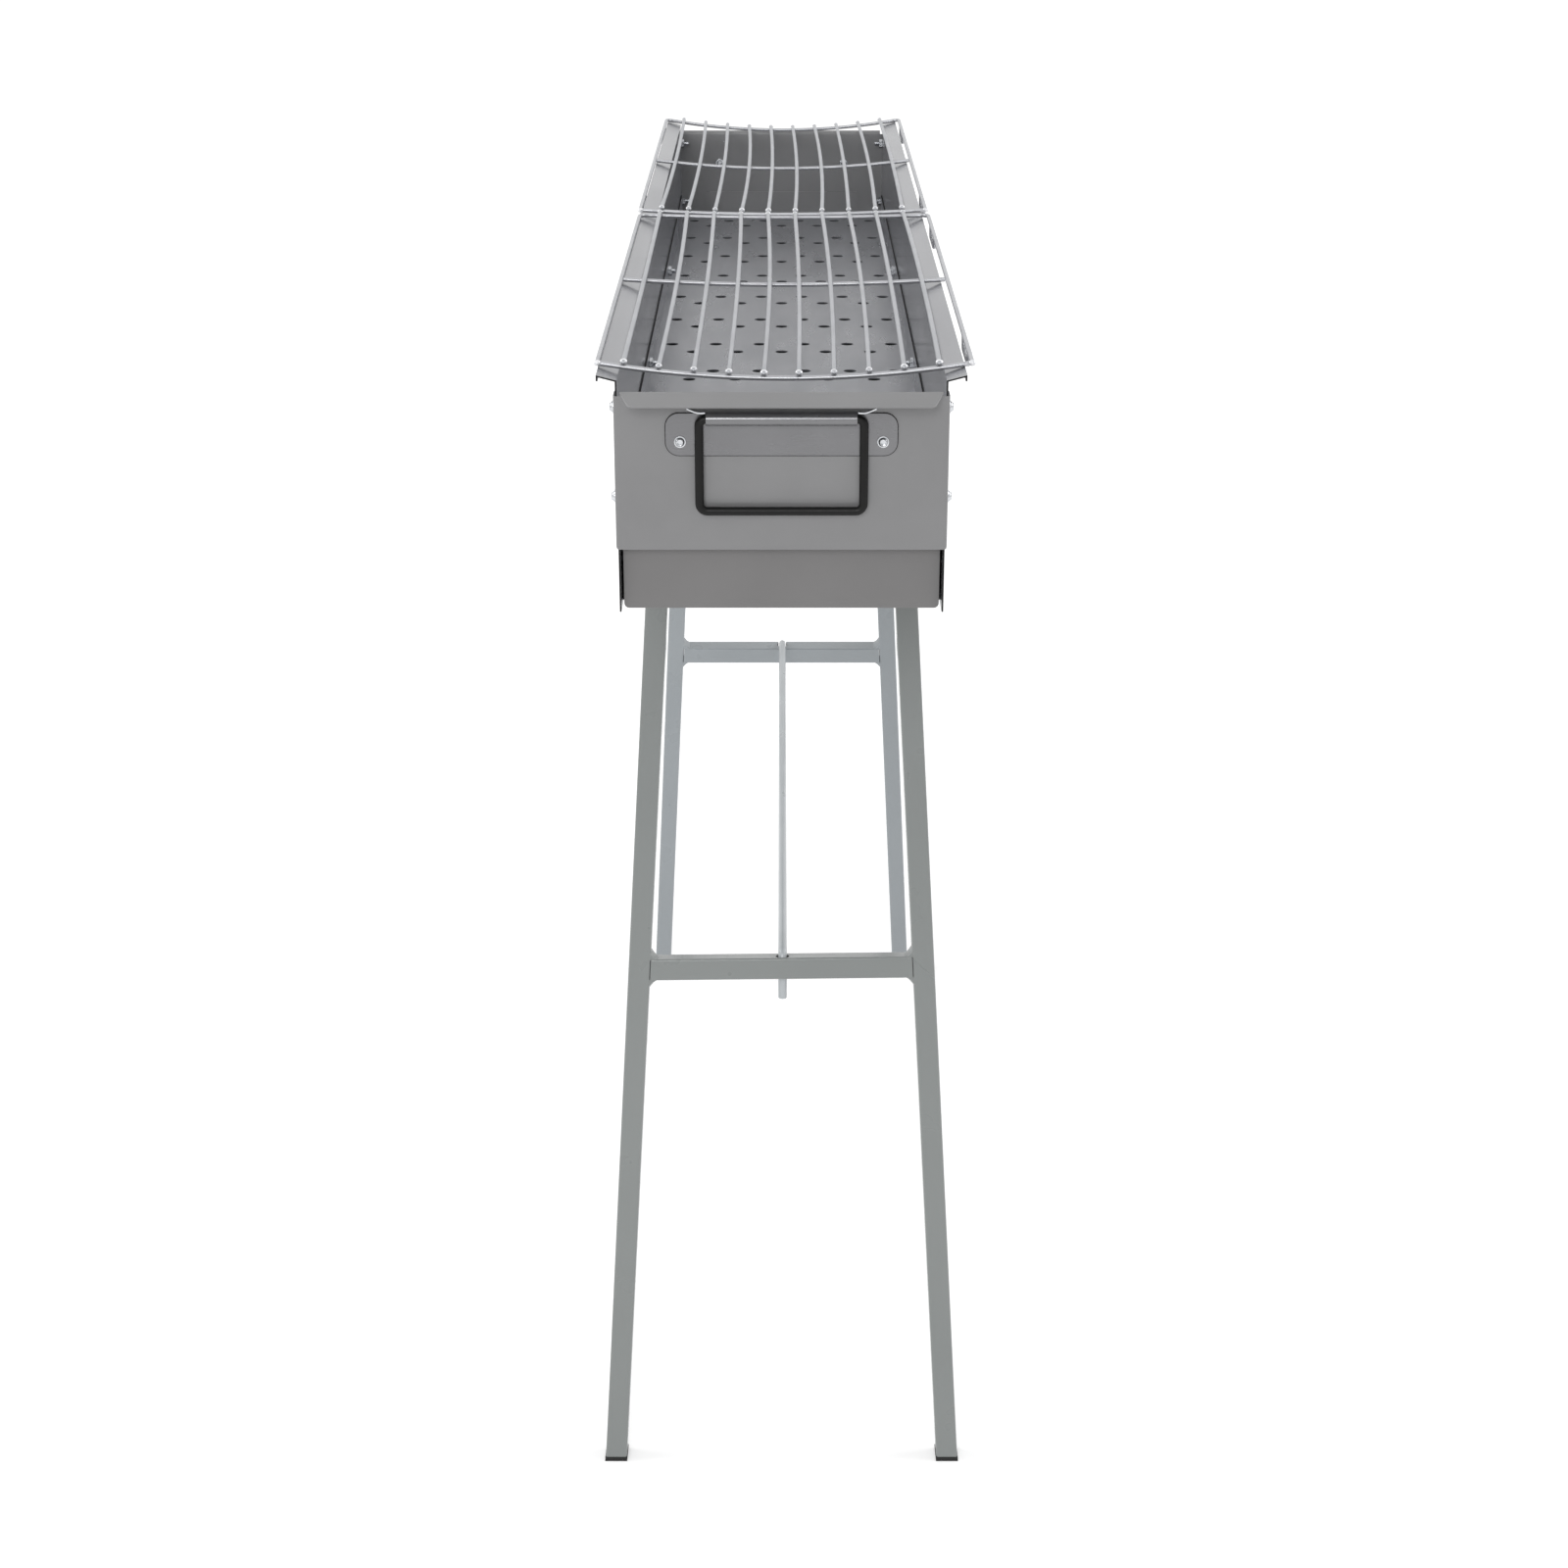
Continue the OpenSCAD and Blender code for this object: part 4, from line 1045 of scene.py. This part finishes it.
@dataclass
class EndPanel:
    """A bent end panel: a plate with rounded bends, two returns and a drooping lip."""

    end: End
    sheet: float = 1.0
    bend_r: float = 1.6
    corner_r: float = 2.0
    return_d: float = 14.0
    lip_out: float = 15.0
    lip_drop: float = 6.2
    lip_half: float = 91.6
    lip_taper: float = 5.2
    lip_corner_r: float = 2.5
    lip_bend_r: float = 2.0
    edge_mm: float = 0.2
    corner_tuck: float = 0.35
    taper_from: float = 0.15
    corner_rows: tuple[float, ...] = (0, 0.06, 0.15, 0.3, 0.5, 0.8, 1.2, 2.0)
    lip_rows: tuple[float, ...] = (0.12, 0.25, 0.4, 0.55, 0.7, 0.82, 0.9, 0.95, 0.98, 1.0)

    def build(self) -> None:
        """Makes the panel in the box of its CAD node."""
        node = f"end_panel_{self.end.word}"
        low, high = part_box(node)
        out = self.end.value
        reach = abs(low.y) if self.end is End.FRONT else high.y
        face = out * (reach - self.lip_out * MM)
        half = max(v.co.x for v in frame["nodes"][node].data.vertices)
        start = high.z - self.lip_bend_r * MM
        heights = [low.z + rise * MM for rise in self.corner_rows]
        heights += [heights[-1] + (start - heights[-1]) * i / 8 for i in range(1, 9)]
        mesh = bmesh.new()
        rows = []
        for z in heights:
            rise = max(self.corner_r - (z - low.z) / MM, 0)
            inset = self.corner_r - math.sqrt(max(self.corner_r ** 2 - rise ** 2, 0))
            rows.append([mesh.verts.new(p) for p in self.outline(half, inset * MM, face, z)])
        skin(mesh, rows, around=False, closed_ends=False)
        self.add_lip(mesh, rows[-1], face, high.z)
        self.face_outwards(mesh)
        piece = to_object(node + "_bent", mesh, 60, keep_normals=True)
        solid = piece.modifiers.new("sheet", "SOLIDIFY")
        solid.thickness = self.sheet * MM
        solid.offset = -1
        solid.use_quality_normals = True
        soften(piece, self.edge_mm, 60)
        finish_piece(piece, "trough", END_SHEET, [node])

    def face_outwards(self, mesh: bmesh.types.BMesh) -> None:
        """Turns the sheet's faces towards the outside, so that it thickens inwards."""
        bmesh.ops.recalc_face_normals(mesh, faces=mesh.faces)
        total = sum(f.normal.y * f.calc_area() for f in mesh.faces)
        if total * self.end.value < 0:
            bmesh.ops.reverse_faces(mesh, faces=mesh.faces)

    def outline(self, half: float, inset: float, face: float, z: float) -> list[Vector]:
        """Points of the panel's cross-section at one height, from the right return to the left.

        Args:
            half: Half width over the returns, in metres.
            inset: How far the rounded lower corner draws the face in, in metres.
            face: Place of the outer face along Y.
            z: The height.

        Returns:
            The points, on the sheet's outer side.
        """
        out = self.end.value
        bend = self.bend_r * MM
        depth = self.return_d * MM
        edge = half - inset * self.corner_tuck
        side = [Vector((edge, face - out * (depth - (depth - bend) * i / 3), z)) for i in range(3)]
        for i in range(7):
            angle = math.pi / 2 * i / 6
            side.append(Vector((
                edge - bend * (1 - math.cos(angle)), face - out * bend * (1 - math.sin(angle)), z)))
        lip = self.lip_half * MM
        flat = [Vector((lip - 2 * lip * i / 30, face, z)) for i in range(31)]
        other = [Vector((-p.x, p.y, p.z)) for p in side[::-1]]
        return side + flat + other

    def add_lip(self, mesh: bmesh.types.BMesh, row: list, face: float, top: float) -> None:
        """Adds the lip to the panel's top row.

        Args:
            mesh: The bmesh that holds the panel.
            row: The panel's top row of points.
            face: Place of the outer face along Y.
            top: Height of the panel's top.
        """
        out = self.end.value
        lip = self.lip_half * MM
        current = [v for v in row if abs(v.co.x) <= lip + TOUCH and abs(v.co.y - face) < TOUCH]
        slope = math.atan2(self.lip_drop, self.lip_out)
        bend = self.lip_bend_r * MM
        stations = []
        for i in range(1, 7):
            turn = (math.pi / 2 + slope) * i / 6
            stations.append((bend * (1 - math.cos(turn)), top - bend + bend * math.sin(turn)))
        last_y, last_z = stations[-1]
        for share in self.lip_rows:
            reach = (self.lip_out * MM - last_y) * share
            stations.append((last_y + reach, last_z - reach * math.tan(slope)))
        flat = [v.co.x / lip for v in current]
        rows = [current]
        for along, z in stations:
            half = self.lip_limit(along / MM) * MM
            rows.append([mesh.verts.new((x * half, face + out * along, z)) for x in flat])
        skin(mesh, rows, around=False, closed_ends=False)

    def lip_limit(self, along: float) -> float:
        """Half width of the lip at a distance from the panel, tapered and rounded at its corners.

        Args:
            along: Distance from the panel in millimetres.

        Returns:
            The half width in millimetres.
        """
        start = self.lip_out * self.taper_from
        straight = self.lip_half - self.lip_taper * max(along - start, 0) / (self.lip_out - start)
        left = self.lip_out - along
        if left >= self.lip_corner_r:
            return straight
        share = 1 - max(left, 0) / self.lip_corner_r
        return straight - self.lip_corner_r * (1 - math.sqrt(max(1 - share ** 2, 0)))


@dataclass
class HandlePlate:
    """The sheet plate of a handle, whose top edge is rolled into a sleeve for the bail."""

    end: End
    sheet: float = 1.0
    height: float = 25.3
    corner_r: float = 8.0
    sleeve_r: float = 3.75
    sleeve_half: float = 43.0
    seam: float = 165.0
    roll: float = 305.0
    rim: float = 0.45
    sleeve_edge: float = 0.2
    ear_edge: float = 0.15
    ear_start: float = 43.3
    ear_stop: float = 54.0
    ear_reach: float = 3.2
    ear_w: float = 2.2
    ear_t: float = 1.1
    ear_flat: float = 0.25
    ear_dip: float = 1.5
    ear_rise: float = 1.6

    def build(self) -> None:
        """Makes the plate, its sleeve and its ears in the place of the CAD node."""
        node = f"handle_plate_{self.end.word}"
        low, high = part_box(node)
        back = high.y if self.end is End.FRONT else low.y
        top = low.z + self.height * MM
        mesh = bmesh.new()
        self.plate(mesh, low, Vector((high.x, high.y, top)), back)
        plate = to_object(node + "_sheet", mesh, 40)
        # The plate's rounded rim takes the near-black finish: painted shade, for the dark outline of the gap
        # round the plate
        soften(plate, self.rim, 50, 1)
        finish_piece(plate, "trough", HANDLE_SHEET, [node])
        plate.data.materials.append(PAINTS.of(GAP_SHADE))
        mesh = bmesh.new()
        self.sleeve(mesh)
        sleeve = to_object(f"handle_sleeve_{self.end.word}_roll", mesh, 40)
        soften(sleeve, self.sleeve_edge, 50)
        finish_piece(sleeve, "trough", HANDLE_SHEET)
        mesh = bmesh.new()
        for side in Side:
            self.ear(mesh, side, top, back)
        ears = to_object(f"handle_ears_{self.end.word}_curl", mesh, 60)
        soften(ears, self.ear_edge, 50)
        # The ears take the bright zinc finish as a painted highlight, for the bright edge of the curled
        # sheet
        finish_piece(ears, "trough", ZINC)

    def plate(self, mesh: bmesh.types.BMesh, low: Vector, high: Vector, back: float) -> None:
        """Adds the flat plate with its round corners.

        Args:
            mesh: The bmesh that takes it.
            low: The plate's lowest corner.
            high: Its highest corner.
            back: Place of the plate's back along Y.
        """
        middle, half = (low + high) / 2, (high - low) / 2
        points = round_corners(half.x, half.z, self.corner_r * MM, 8)
        base = Vector((middle.x, back, middle.z))
        self.extrude(mesh, points, base, Vector((0, self.end.value * self.sheet * MM, 0)))

    def extrude(
        self, mesh: bmesh.types.BMesh, points: list, base: Vector, shift: Vector,
        plane: Plane = Plane.XZ,
    ) -> None:
        """Adds a prism on a flat outline.

        Args:
            mesh: The bmesh that takes the prism.
            points: The outline's points.
            base: Where the outline's plane lies.
            shift: The prism's depth and direction.
            plane: The plane whose two axes the points give.
        """
        def corner(point: tuple, move: Vector) -> Vector:
            """One corner of the prism."""
            first, second = point
            local = (first, 0, second) if plane is Plane.XZ else (0, first, second)
            return Vector(local) + base + move
        skin(mesh, [[mesh.verts.new(corner(p, move)) for p in points] for move in (Vector(), shift)])

    def sleeve(self, mesh: bmesh.types.BMesh) -> None:
        """Adds the rolled sleeve round the bail's axis, open along its seam at the plate."""
        out = self.end.value
        axis = place_of(frame["record"]["behaviour"]["joints"], f"{self.end.word}_bail_swing")
        outer, inner = self.sleeve_r * MM, (self.sleeve_r - self.sheet) * MM
        points = []
        for radius, order in ((outer, range(33)), (inner, range(32, -1, -1))):
            for i in order:
                angle = math.radians(self.seam - self.roll * i / 32)
                points.append((axis[1] + out * radius * math.cos(angle), axis[2] + radius * math.sin(angle)))
        half = self.sleeve_half * MM
        self.extrude(mesh, points, Vector((-half, 0, 0)), Vector((2 * half, 0, 0)), Plane.YZ)

    def ear(self, mesh: bmesh.types.BMesh, side: Side, top: float, back: float) -> None:
        """Adds the lip that is left between the plate and one end of the sleeve.

        Args:
            mesh: The bmesh that takes it.
            side: The side of the grill.
            top: Height of the plate's top edge.
            back: Place of the plate's back along Y.
        """
        out = self.end.value
        rows = []
        for i in range(17):
            share = i / 16
            x = side.value * (self.ear_start + (self.ear_stop - self.ear_start) * share) * MM
            curl = max(share - self.ear_flat, 0) / (1 - self.ear_flat)
            swing = 0.5 + 0.5 * math.cos(math.pi * curl)
            face = back + out * (self.sheet + self.ear_reach * swing) * MM
            inside = face - out * self.ear_w * MM
            under = top + (self.ear_rise * share ** 3 - self.ear_dip * (1 - share) ** 2 * share) * MM
            over = under + self.ear_t * MM
            ring = ((inside, under), (face, under), (face, over), (inside, over))
            rows.append([mesh.verts.new((x, y, z)) for y, z in ring])
        skin(mesh, rows)


@dataclass
class LegFrame:
    """One leg frame: two splayed square tubes, a crossbar and the welds between them."""

    end: End
    tube: float = 15.0
    wall: float = 1.2
    corner_r: float = 1.2
    inner_r: float = 0.5
    bore_r: float = 3.05
    leg_x: float = 81.2
    leg_head: float = 10.0
    cap_h: float = 3.0
    crossbar_z: float = 355.0
    bar_gap: float = 0.3
    bar_slope: float = 0.0
    hole_r: float = 4.7
    slot_w: float = 7.0
    weld: float = 6.0
    weld_sink: float = 0.3
    weld_swell: float = 0.3
    weld_ripple: float = 0.06
    weld_hollow: tuple[float, float] = (0.44, 0.34)
    weld_inset: float = 0.4
    mark_rise: float = 6.5
    mark_drop: float = 13.5
    mark_edge: float = 0.03
    mark_wave: float = 0.25
    mark_waves: float = 1.3
    mark_r: float = 0.32

    def __post_init__(self) -> None:
        """Reads the pivot and the foot from the frame."""
        pivot = place_of(frame["record"]["behaviour"]["joints"], "rear_leg_fold")
        foot = place_of(frame["record"]["mounts"], "foot_rear_right")
        self.pivot = Vector(pivot)
        self.lean = math.atan2(foot[1] - pivot[1], pivot[2])
        run = pivot[2] / math.cos(self.lean)
        self.splay = math.atan2(foot[0] - self.leg_x * MM, run)
        self.bar_run = (pivot[2] - self.crossbar_z * MM) / math.cos(self.lean)
        # The rear frame takes the copy of the coat that is painted lighter for the light on it
        self.finish = FRONT_COAT if self.end is End.FRONT else REAR_LIT_COAT
        self.body = "trough" if self.end is End.FRONT else "rear_leg_frame"
        self.slot = f"{self.end.word}_frame_paint"
        turn = Matrix.Rotation(self.lean, 4, "X")
        mirror = Matrix.Diagonal((1, self.end.value, 1, 1))
        self.place = mirror @ Matrix.Translation(self.pivot) @ turn

    def build(self) -> None:
        """Makes the legs, the crossbar and the welds."""
        for side in Side:
            self.leg(side)
        self.crossbar()
        self.welds()

    def hollow(self, mesh: bmesh.types.BMesh, first: Callable, last: Callable) -> None:
        """Adds a hollow tube between two ends.

        Args:
            mesh: The bmesh that takes the tube.
            first: Gives a profile point's place at the first end.
            last: Gives it at the last end.
        """
        half = self.tube / 2
        walls = []
        for reach, radius in ((half, self.corner_r), (half - self.wall, self.inner_r)):
            outline = round_corners(reach * MM, reach * MM, radius * MM, 4)
            walls.append([[mesh.verts.new(end(p)) for p in outline] for end in (first, last)])
        outer, inner = walls
        skin(mesh, [outer[0], outer[1], inner[1], inner[0]], ringed=True, closed_ends=False)

    def leg(self, side: Side) -> None:
        """Makes one leg tube, cut level over its foot cap."""
        flip = Matrix.Diagonal((side.value, 1, 1, 1))
        along = flip @ self.place @ Matrix.Translation(Vector((self.leg_x * MM, 0, 0)))
        along = along @ Matrix.Rotation(-self.splay, 4, "Y")

        def head(point: tuple) -> Vector:
            """A point of the tube's open head."""
            return along @ Vector((point[0], point[1], self.leg_head * MM))

        def foot(point: tuple) -> Vector:
            """A point of the level cut over the cap."""
            top = along @ Vector((point[0], point[1], 0))
            way = (along @ Vector((point[0], point[1], -1))) - top
            return top + way * (self.cap_h * MM - top.z) / way.z
        node = f"leg_{self.end.word}_{side.word}"
        mesh = bmesh.new()
        self.hollow(mesh, head, foot)
        piece = to_object(node + "_tube", mesh, 40)
        self.drill(piece, [self.bore(side)])
        flatten(piece)
        finish_piece(piece, self.body, self.finish, [node])

    def bore(self, side: Side) -> bpy.types.Object:
        """A cutter for the pivot bolt's hole."""
        mesh = bmesh.new()
        spot = Vector((side.value * self.leg_x * MM, self.end.value * self.pivot.y, self.pivot.z))
        place = Matrix.Translation(spot) @ Matrix.Rotation(math.pi / 2, 4, "Y")
        radius = self.bore_r * MM
        bmesh.ops.create_cone(
            mesh, cap_ends=True, segments=32, radius1=radius, radius2=radius,
            depth=2 * self.tube * MM, matrix=place)
        return to_object("cutter", mesh)

    def drill(self, piece: bpy.types.Object, cutters: list[bpy.types.Object]) -> None:
        """Cuts holes in a piece for good and deletes the cutters.

        Args:
            piece: The piece to cut.
            cutters: Closed solids that mark the holes.
        """
        for cutter in cutters:
            cut = piece.modifiers.new("cut", "BOOLEAN")
            cut.operation = "DIFFERENCE"
            cut.solver = "EXACT"
            cut.object = cutter
            bpy.context.view_layer.update()
            graph = bpy.context.evaluated_depsgraph_get()
            result = bpy.data.meshes.new_from_object(piece.evaluated_get(graph))
            piece.modifiers.clear()
            old, piece.data = piece.data, result
            bpy.data.meshes.remove(old)
            bpy.data.meshes.remove(cutter.data)

    def inner_x(self, z: float) -> float:
        """Distance of a leg's inner face from the middle, at a height along the frame."""
        return self.leg_x * MM - z * math.tan(self.splay) - self.tube / 2 * MM / math.cos(self.splay)

    def crossbar(self) -> None:
        """Makes the crossbar with the rod's hole, and at the rear the slot out of it."""
        def ending(sign: int) -> Callable:
            """Gives the place of a profile point at one end of the bar."""
            def point(flat: tuple) -> Vector:
                """A point of the bar's slanted end."""
                z = -self.bar_run + flat[1] + sign * self.bar_slope * MM
                x = self.inner_x(z) - self.bar_gap * MM
                return self.place @ Vector((sign * x, flat[0], z))
            return point
        mesh = bmesh.new()
        self.hollow(mesh, ending(-1), ending(1))
        node = f"crossbar_{self.end.word}"
        piece = to_object(node + "_tube", mesh, 40)
        self.drill(piece, self.rod_cutters())
        flatten(piece)
        finish_piece(piece, self.body, self.finish, [node])

    def rod_cutters(self) -> list[bpy.types.Object]:
        """Cutters for the rod's hole and, at the rear, for the slot that lets its hook out."""
        low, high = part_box("tie_rod")
        centre = self.place @ Vector((0, 0, -self.bar_run))
        middle = Vector(((low.x + high.x) / 2, centre.y, centre.z))
        mesh = bmesh.new()
        bmesh.ops.create_cone(
            mesh, cap_ends=True, segments=48, radius1=self.hole_r * MM, radius2=self.hole_r * MM,
            depth=4 * self.tube * MM, matrix=Matrix.Translation(middle))
        cutters = [to_object("cutter", mesh)]
        if self.end is End.REAR:
            slot = bmesh.new()
            size = Matrix.Diagonal((self.slot_w * MM, self.tube * MM, 4 * self.tube * MM, 1))
            shift = Matrix.Translation(middle + Vector((0, self.tube / 2 * MM, 0)))
            bmesh.ops.create_cube(slot, size=1, matrix=shift @ size)
            cutters.append(to_object("cutter", slot))
        return cutters

    def welds(self) -> None:
        """Makes the fillet welds above and below both ends of the crossbar."""
        mesh = bmesh.new()
        for side in Side:
            for rise in (1, -1):
                self.fillet(mesh, side, rise)
        if self.end is End.FRONT:
            self.grinding_mark(mesh)
        name = f"crossbar_{self.end.word}_welds"
        finish_piece(to_object(name, mesh, 50), self.body, self.finish)

    def grinding_mark(self, mesh: bmesh.types.BMesh) -> None:
        """Adds the thin slanted ridge across the front of the right leg, left by trimming a weld."""
        points = []
        for i in range(13):
            share = i / 12
            z = -self.bar_run + (self.mark_rise - self.mark_drop * share) * MM
            across = self.mark_edge + (1 - 2 * self.mark_edge) * share
            x = self.inner_x(z) + self.tube * MM * across
            wave = self.mark_wave * MM * math.sin(math.tau * self.mark_waves * share)
            points.append(self.place @ Vector((x, self.tube / 2 * MM, z - wave)))
        sweep(mesh, points, self.mark_r * MM, Vector((0, 1, 0)), 8)

    def fillet(self, mesh: bmesh.types.BMesh, side: Side, rise: int) -> None:
        """Adds one fillet across the depth of the tube.

        Args:
            mesh: The bmesh that takes it.
            side: The side that the leg is on.
            rise: 1 above the crossbar, -1 below it.
        """
        steps, half = 16, (self.tube / 2 - self.corner_r * self.weld_inset) * MM
        sink = self.weld_sink * MM
        loops = []
        for i in range(steps + 1):
            depth = -half + 2 * half * i / steps
            swell = math.sin(math.pi * i / steps) ** 0.5
            ripple = 1 + self.weld_ripple * math.sin(2.1 * i + rise)
            size = self.weld * MM * (1 - self.weld_swell + self.weld_swell * swell) * ripple
            z = -self.bar_run + (rise * self.tube / 2 + side.value * self.bar_slope) * MM
            wall_z = z + rise * size
            points = [
                (self.inner_x(z) - size, z - rise * sink),
                (self.inner_x(z) - size * self.weld_hollow[0], z + rise * size * self.weld_hollow[1]),
                (self.inner_x(wall_z) + sink, wall_z),
                (self.inner_x(z) + sink, z - rise * sink)]
            loops.append([
                mesh.verts.new(self.place @ Vector((side.value * x, depth, h))) for x, h in points])
        skin(mesh, loops)


@dataclass
class CarriedNodes:
    """The CAD nodes that show as they are, with rounded edges and a real finish."""

    edge_mm: float = 0.3
    square_on: float = 0.9
    floor_turn_x: float = 85.0
    finishes: dict[str, Finish] = field(default_factory=lambda: {
        "side_sheet": SHEET, "end_sheet": END_SHEET, "pan_sheet": PAN_SHEET,
        "pan_inside": PAN_SHADE, "floor_sheet": FLOOR_SHEET,
        "front_frame_paint": FRONT_COAT, "rear_frame_paint": REAR_LIT_COAT, "rod_steel": ROD_COAT,
        "black_coat": DIP_COAT, "zinc": ZINC, "grate_chrome": WIRE_PLATE, "foot_plastic": CAP_PLASTIC})

    def build(self) -> None:
        """Dresses every CAD node by its material slot and rounds what shows."""
        slots = {s["node"]: s["material_slot"] for s in frame["record"]["subparts"]}
        for name, piece in frame["nodes"].items():
            PAINTS.dress(piece, self.finishes[slots[name]])
            if not piece.hide_render:
                self.cut_edges(name, piece)
                if slots[name] not in ("side_sheet", "floor_sheet"):
                    self.round_edges(piece)
                LOG.info("%s carried over", name)

    def cut_edges(self, name: str, piece: bpy.types.Object) -> None:
        """Paints shade on the side panels' end faces and on the tops of the floor's turned-up edges, for the
        shadow in the gaps beside them, and gives the floor's end strips the end panels' finish.
        """
        if name.startswith("side_panel"):
            self.paint_faces(piece, GAP_SHADE, lambda face: abs(face.normal.y) > self.square_on)
        if name == "floor_edges":
            turned_up = self.floor_turn_x * MM
            self.paint_faces(
                piece, GAP_SHADE,
                lambda face: face.normal.z > self.square_on and abs(face.center.x) > turned_up)
            self.paint_faces(piece, END_SHEET, lambda face: abs(face.normal.y) > self.square_on)

    def paint_faces(
        self, piece: bpy.types.Object, finish: Finish, chosen: Callable[[bpy.types.MeshPolygon], bool]
    ) -> None:
        """Gives some faces of a node a finish of their own.

        Args:
            piece: The node's object, whose shape stays as it is.
            finish: The finish for the chosen faces.
            chosen: Tells whether a face is meant.
        """
        piece.data.materials.append(PAINTS.of(finish))
        last = len(piece.data.materials) - 1
        for face in piece.data.polygons:
            if chosen(face):
                face.material_index = last

    def round_edges(self, piece: bpy.types.Object) -> None:
        """Rounds a node's sharp edges with modifiers, which leave its own mesh alone."""
        weld = piece.modifiers.new("weld", "WELD")
        weld.merge_threshold = TOUCH
        soften(piece, self.edge_mm, 40)
        flatten(piece)


@dataclass
class Studio:
    """The pale floor, the soft lights and the camera of the photograph."""

    lens: float = 61.52
    sensor: float = 36.0
    camera_y: float = -2.0179
    camera_z: float = 1.1536
    pitch: float = 21.6
    image: int = 1600
    axis_x: float = 797.5
    axis_y: float = 802.9
    world_level: float = 0.5
    floor_half: float = 12.0
    floor_tone: float = 0.9
    floor_near: float = 0.3
    floor_far: float = 0.66
    near_to: float = 0.5
    far_from: float = 2.6

    def build(self) -> None:
        """Sets the camera, world, floor and lights."""
        self.camera()
        self.world()
        self.floor()
        self.lamp("key", (-0.5, -3.2, 2.1), target=(0, 0, 0.7), size=1.1, power=31)
        self.lamp("top", (0, 0, 3.0), target=(0, 0, 0.8), size=2.0, power=5)
        for side in Side:
            place = (side.value * 2.4, 0.1, 1.9)
            self.lamp(f"side_{side.word}", place, target=(0, 0, 0.5), size=1.4, power=27)
        view = bpy.context.scene.view_settings
        view.view_transform = "Standard"

    def camera(self) -> None:
        """Puts the camera where the photograph was taken from."""
        data = bpy.data.cameras.new("camera")
        data.lens = self.lens
        data.sensor_width = self.sensor
        data.shift_x = (self.image / 2 - self.axis_x) / self.image
        data.shift_y = (self.axis_y - self.image / 2) / self.image
        camera = bpy.data.objects.new("camera", data)
        camera.location = (0, self.camera_y, self.camera_z)
        camera.rotation_euler = (math.radians(90 - self.pitch), 0, 0)
        bpy.context.scene.collection.objects.link(camera)
        bpy.context.scene.camera = camera

    def seen(self, tree: bpy.types.NodeTree) -> bpy.types.NodeSocket:
        """One where a camera, mirror or glass looks at the background, and nought elsewhere."""
        path = add_node(tree, "ShaderNodeLightPath").outputs
        both = add_node(
            tree, "ShaderNodeMath", operation="MAXIMUM",
            Value=[path["Is Camera Ray"], path["Is Glossy Ray"]])
        return add_node(
            tree, "ShaderNodeMath", operation="MAXIMUM",
            Value=[both.outputs[0], path["Is Transmission Ray"]]).outputs[0]

    def world(self) -> None:
        """Lights the grill from a plain pale world that looks white."""
        world = bpy.data.worlds.new("studio")
        world.use_nodes = True
        tree = world.node_tree
        tree.nodes.clear()
        level = blend_range(tree, self.seen(tree), self.world_level, 1.0, 0, 1)
        shine = add_node(tree, "ShaderNodeBackground", Color=WHITE, Strength=level)
        add_node(tree, "ShaderNodeOutputWorld", Surface=shine.outputs[0])
        bpy.context.scene.world = world

    def floor(self) -> None:
        """Lays the pale floor, which keeps the grill's soft shadow."""
        mesh = bmesh.new()
        bmesh.ops.create_grid(mesh, x_segments=1, y_segments=1, size=self.floor_half)
        floor = to_object("studio_floor", mesh)
        material, tree = start_material("pale_floor")
        tone = self.floor_tone
        matt = add_node(tree, "ShaderNodeBsdfDiffuse", Color=(tone, tone, tone, 1))
        reach = add_node(tree, "ShaderNodeVectorMath", operation="LENGTH", Vector=coords(tree))
        lift = blend_range(
            tree, reach.outputs["Value"], self.floor_near, self.floor_far, self.near_to, self.far_from)
        level = add_node(tree, "ShaderNodeMath", operation="MULTIPLY", Value=[self.seen(tree), lift])
        glow = add_node(tree, "ShaderNodeEmission", Color=WHITE, Strength=level.outputs[0])
        both = add_node(tree, "ShaderNodeAddShader", Shader=[matt.outputs[0], glow.outputs[0]])
        add_node(tree, "ShaderNodeOutputMaterial", Surface=both.outputs[0])
        floor.data.materials.append(material)

    def lamp(
        self, name: str, place: Sequence[float], target: Sequence[float], size: float, power: float
    ) -> None:
        """Adds one soft area lamp.

        Args:
            name: The lamp's name.
            place: Where it hangs, in metres.
            target: The point that it faces.
            size: Its width in metres.
            power: Its power in watts.
        """
        data = bpy.data.lights.new(name, "AREA")
        data.energy = power
        data.size = size
        lamp = bpy.data.objects.new(name, data)
        lamp.location = place
        way = Vector(target) - Vector(place)
        lamp.rotation_euler = way.to_track_quat("-Z", "Y").to_euler()
        bpy.context.scene.collection.objects.link(lamp)


def main() -> None:
    """Builds the studio and every piece of the grill."""
    logging.basicConfig(level=logging.INFO, format="%(message)s")
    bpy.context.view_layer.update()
    Studio().build()
    Grate(End.FRONT, bar_shift=-1.9, bow_middle=1.9, sags=(8.9, 3.6, 2.0)).build()
    Grate(End.REAR, bar_shift=-0.8, bow_middle=2.5, sags=(3.4, 7.0, 9.4)).build()
    for end in End:
        Bail(end).build()
        EndPanel(end).build()
        HandlePlate(end).build()
        LegFrame(end, bar_slope=1.0 if end is End.FRONT else 0.0).build()
    TieRod().build()
    Fasteners().build()
    CarriedNodes().build()


if __name__ == "__main__":
    main()
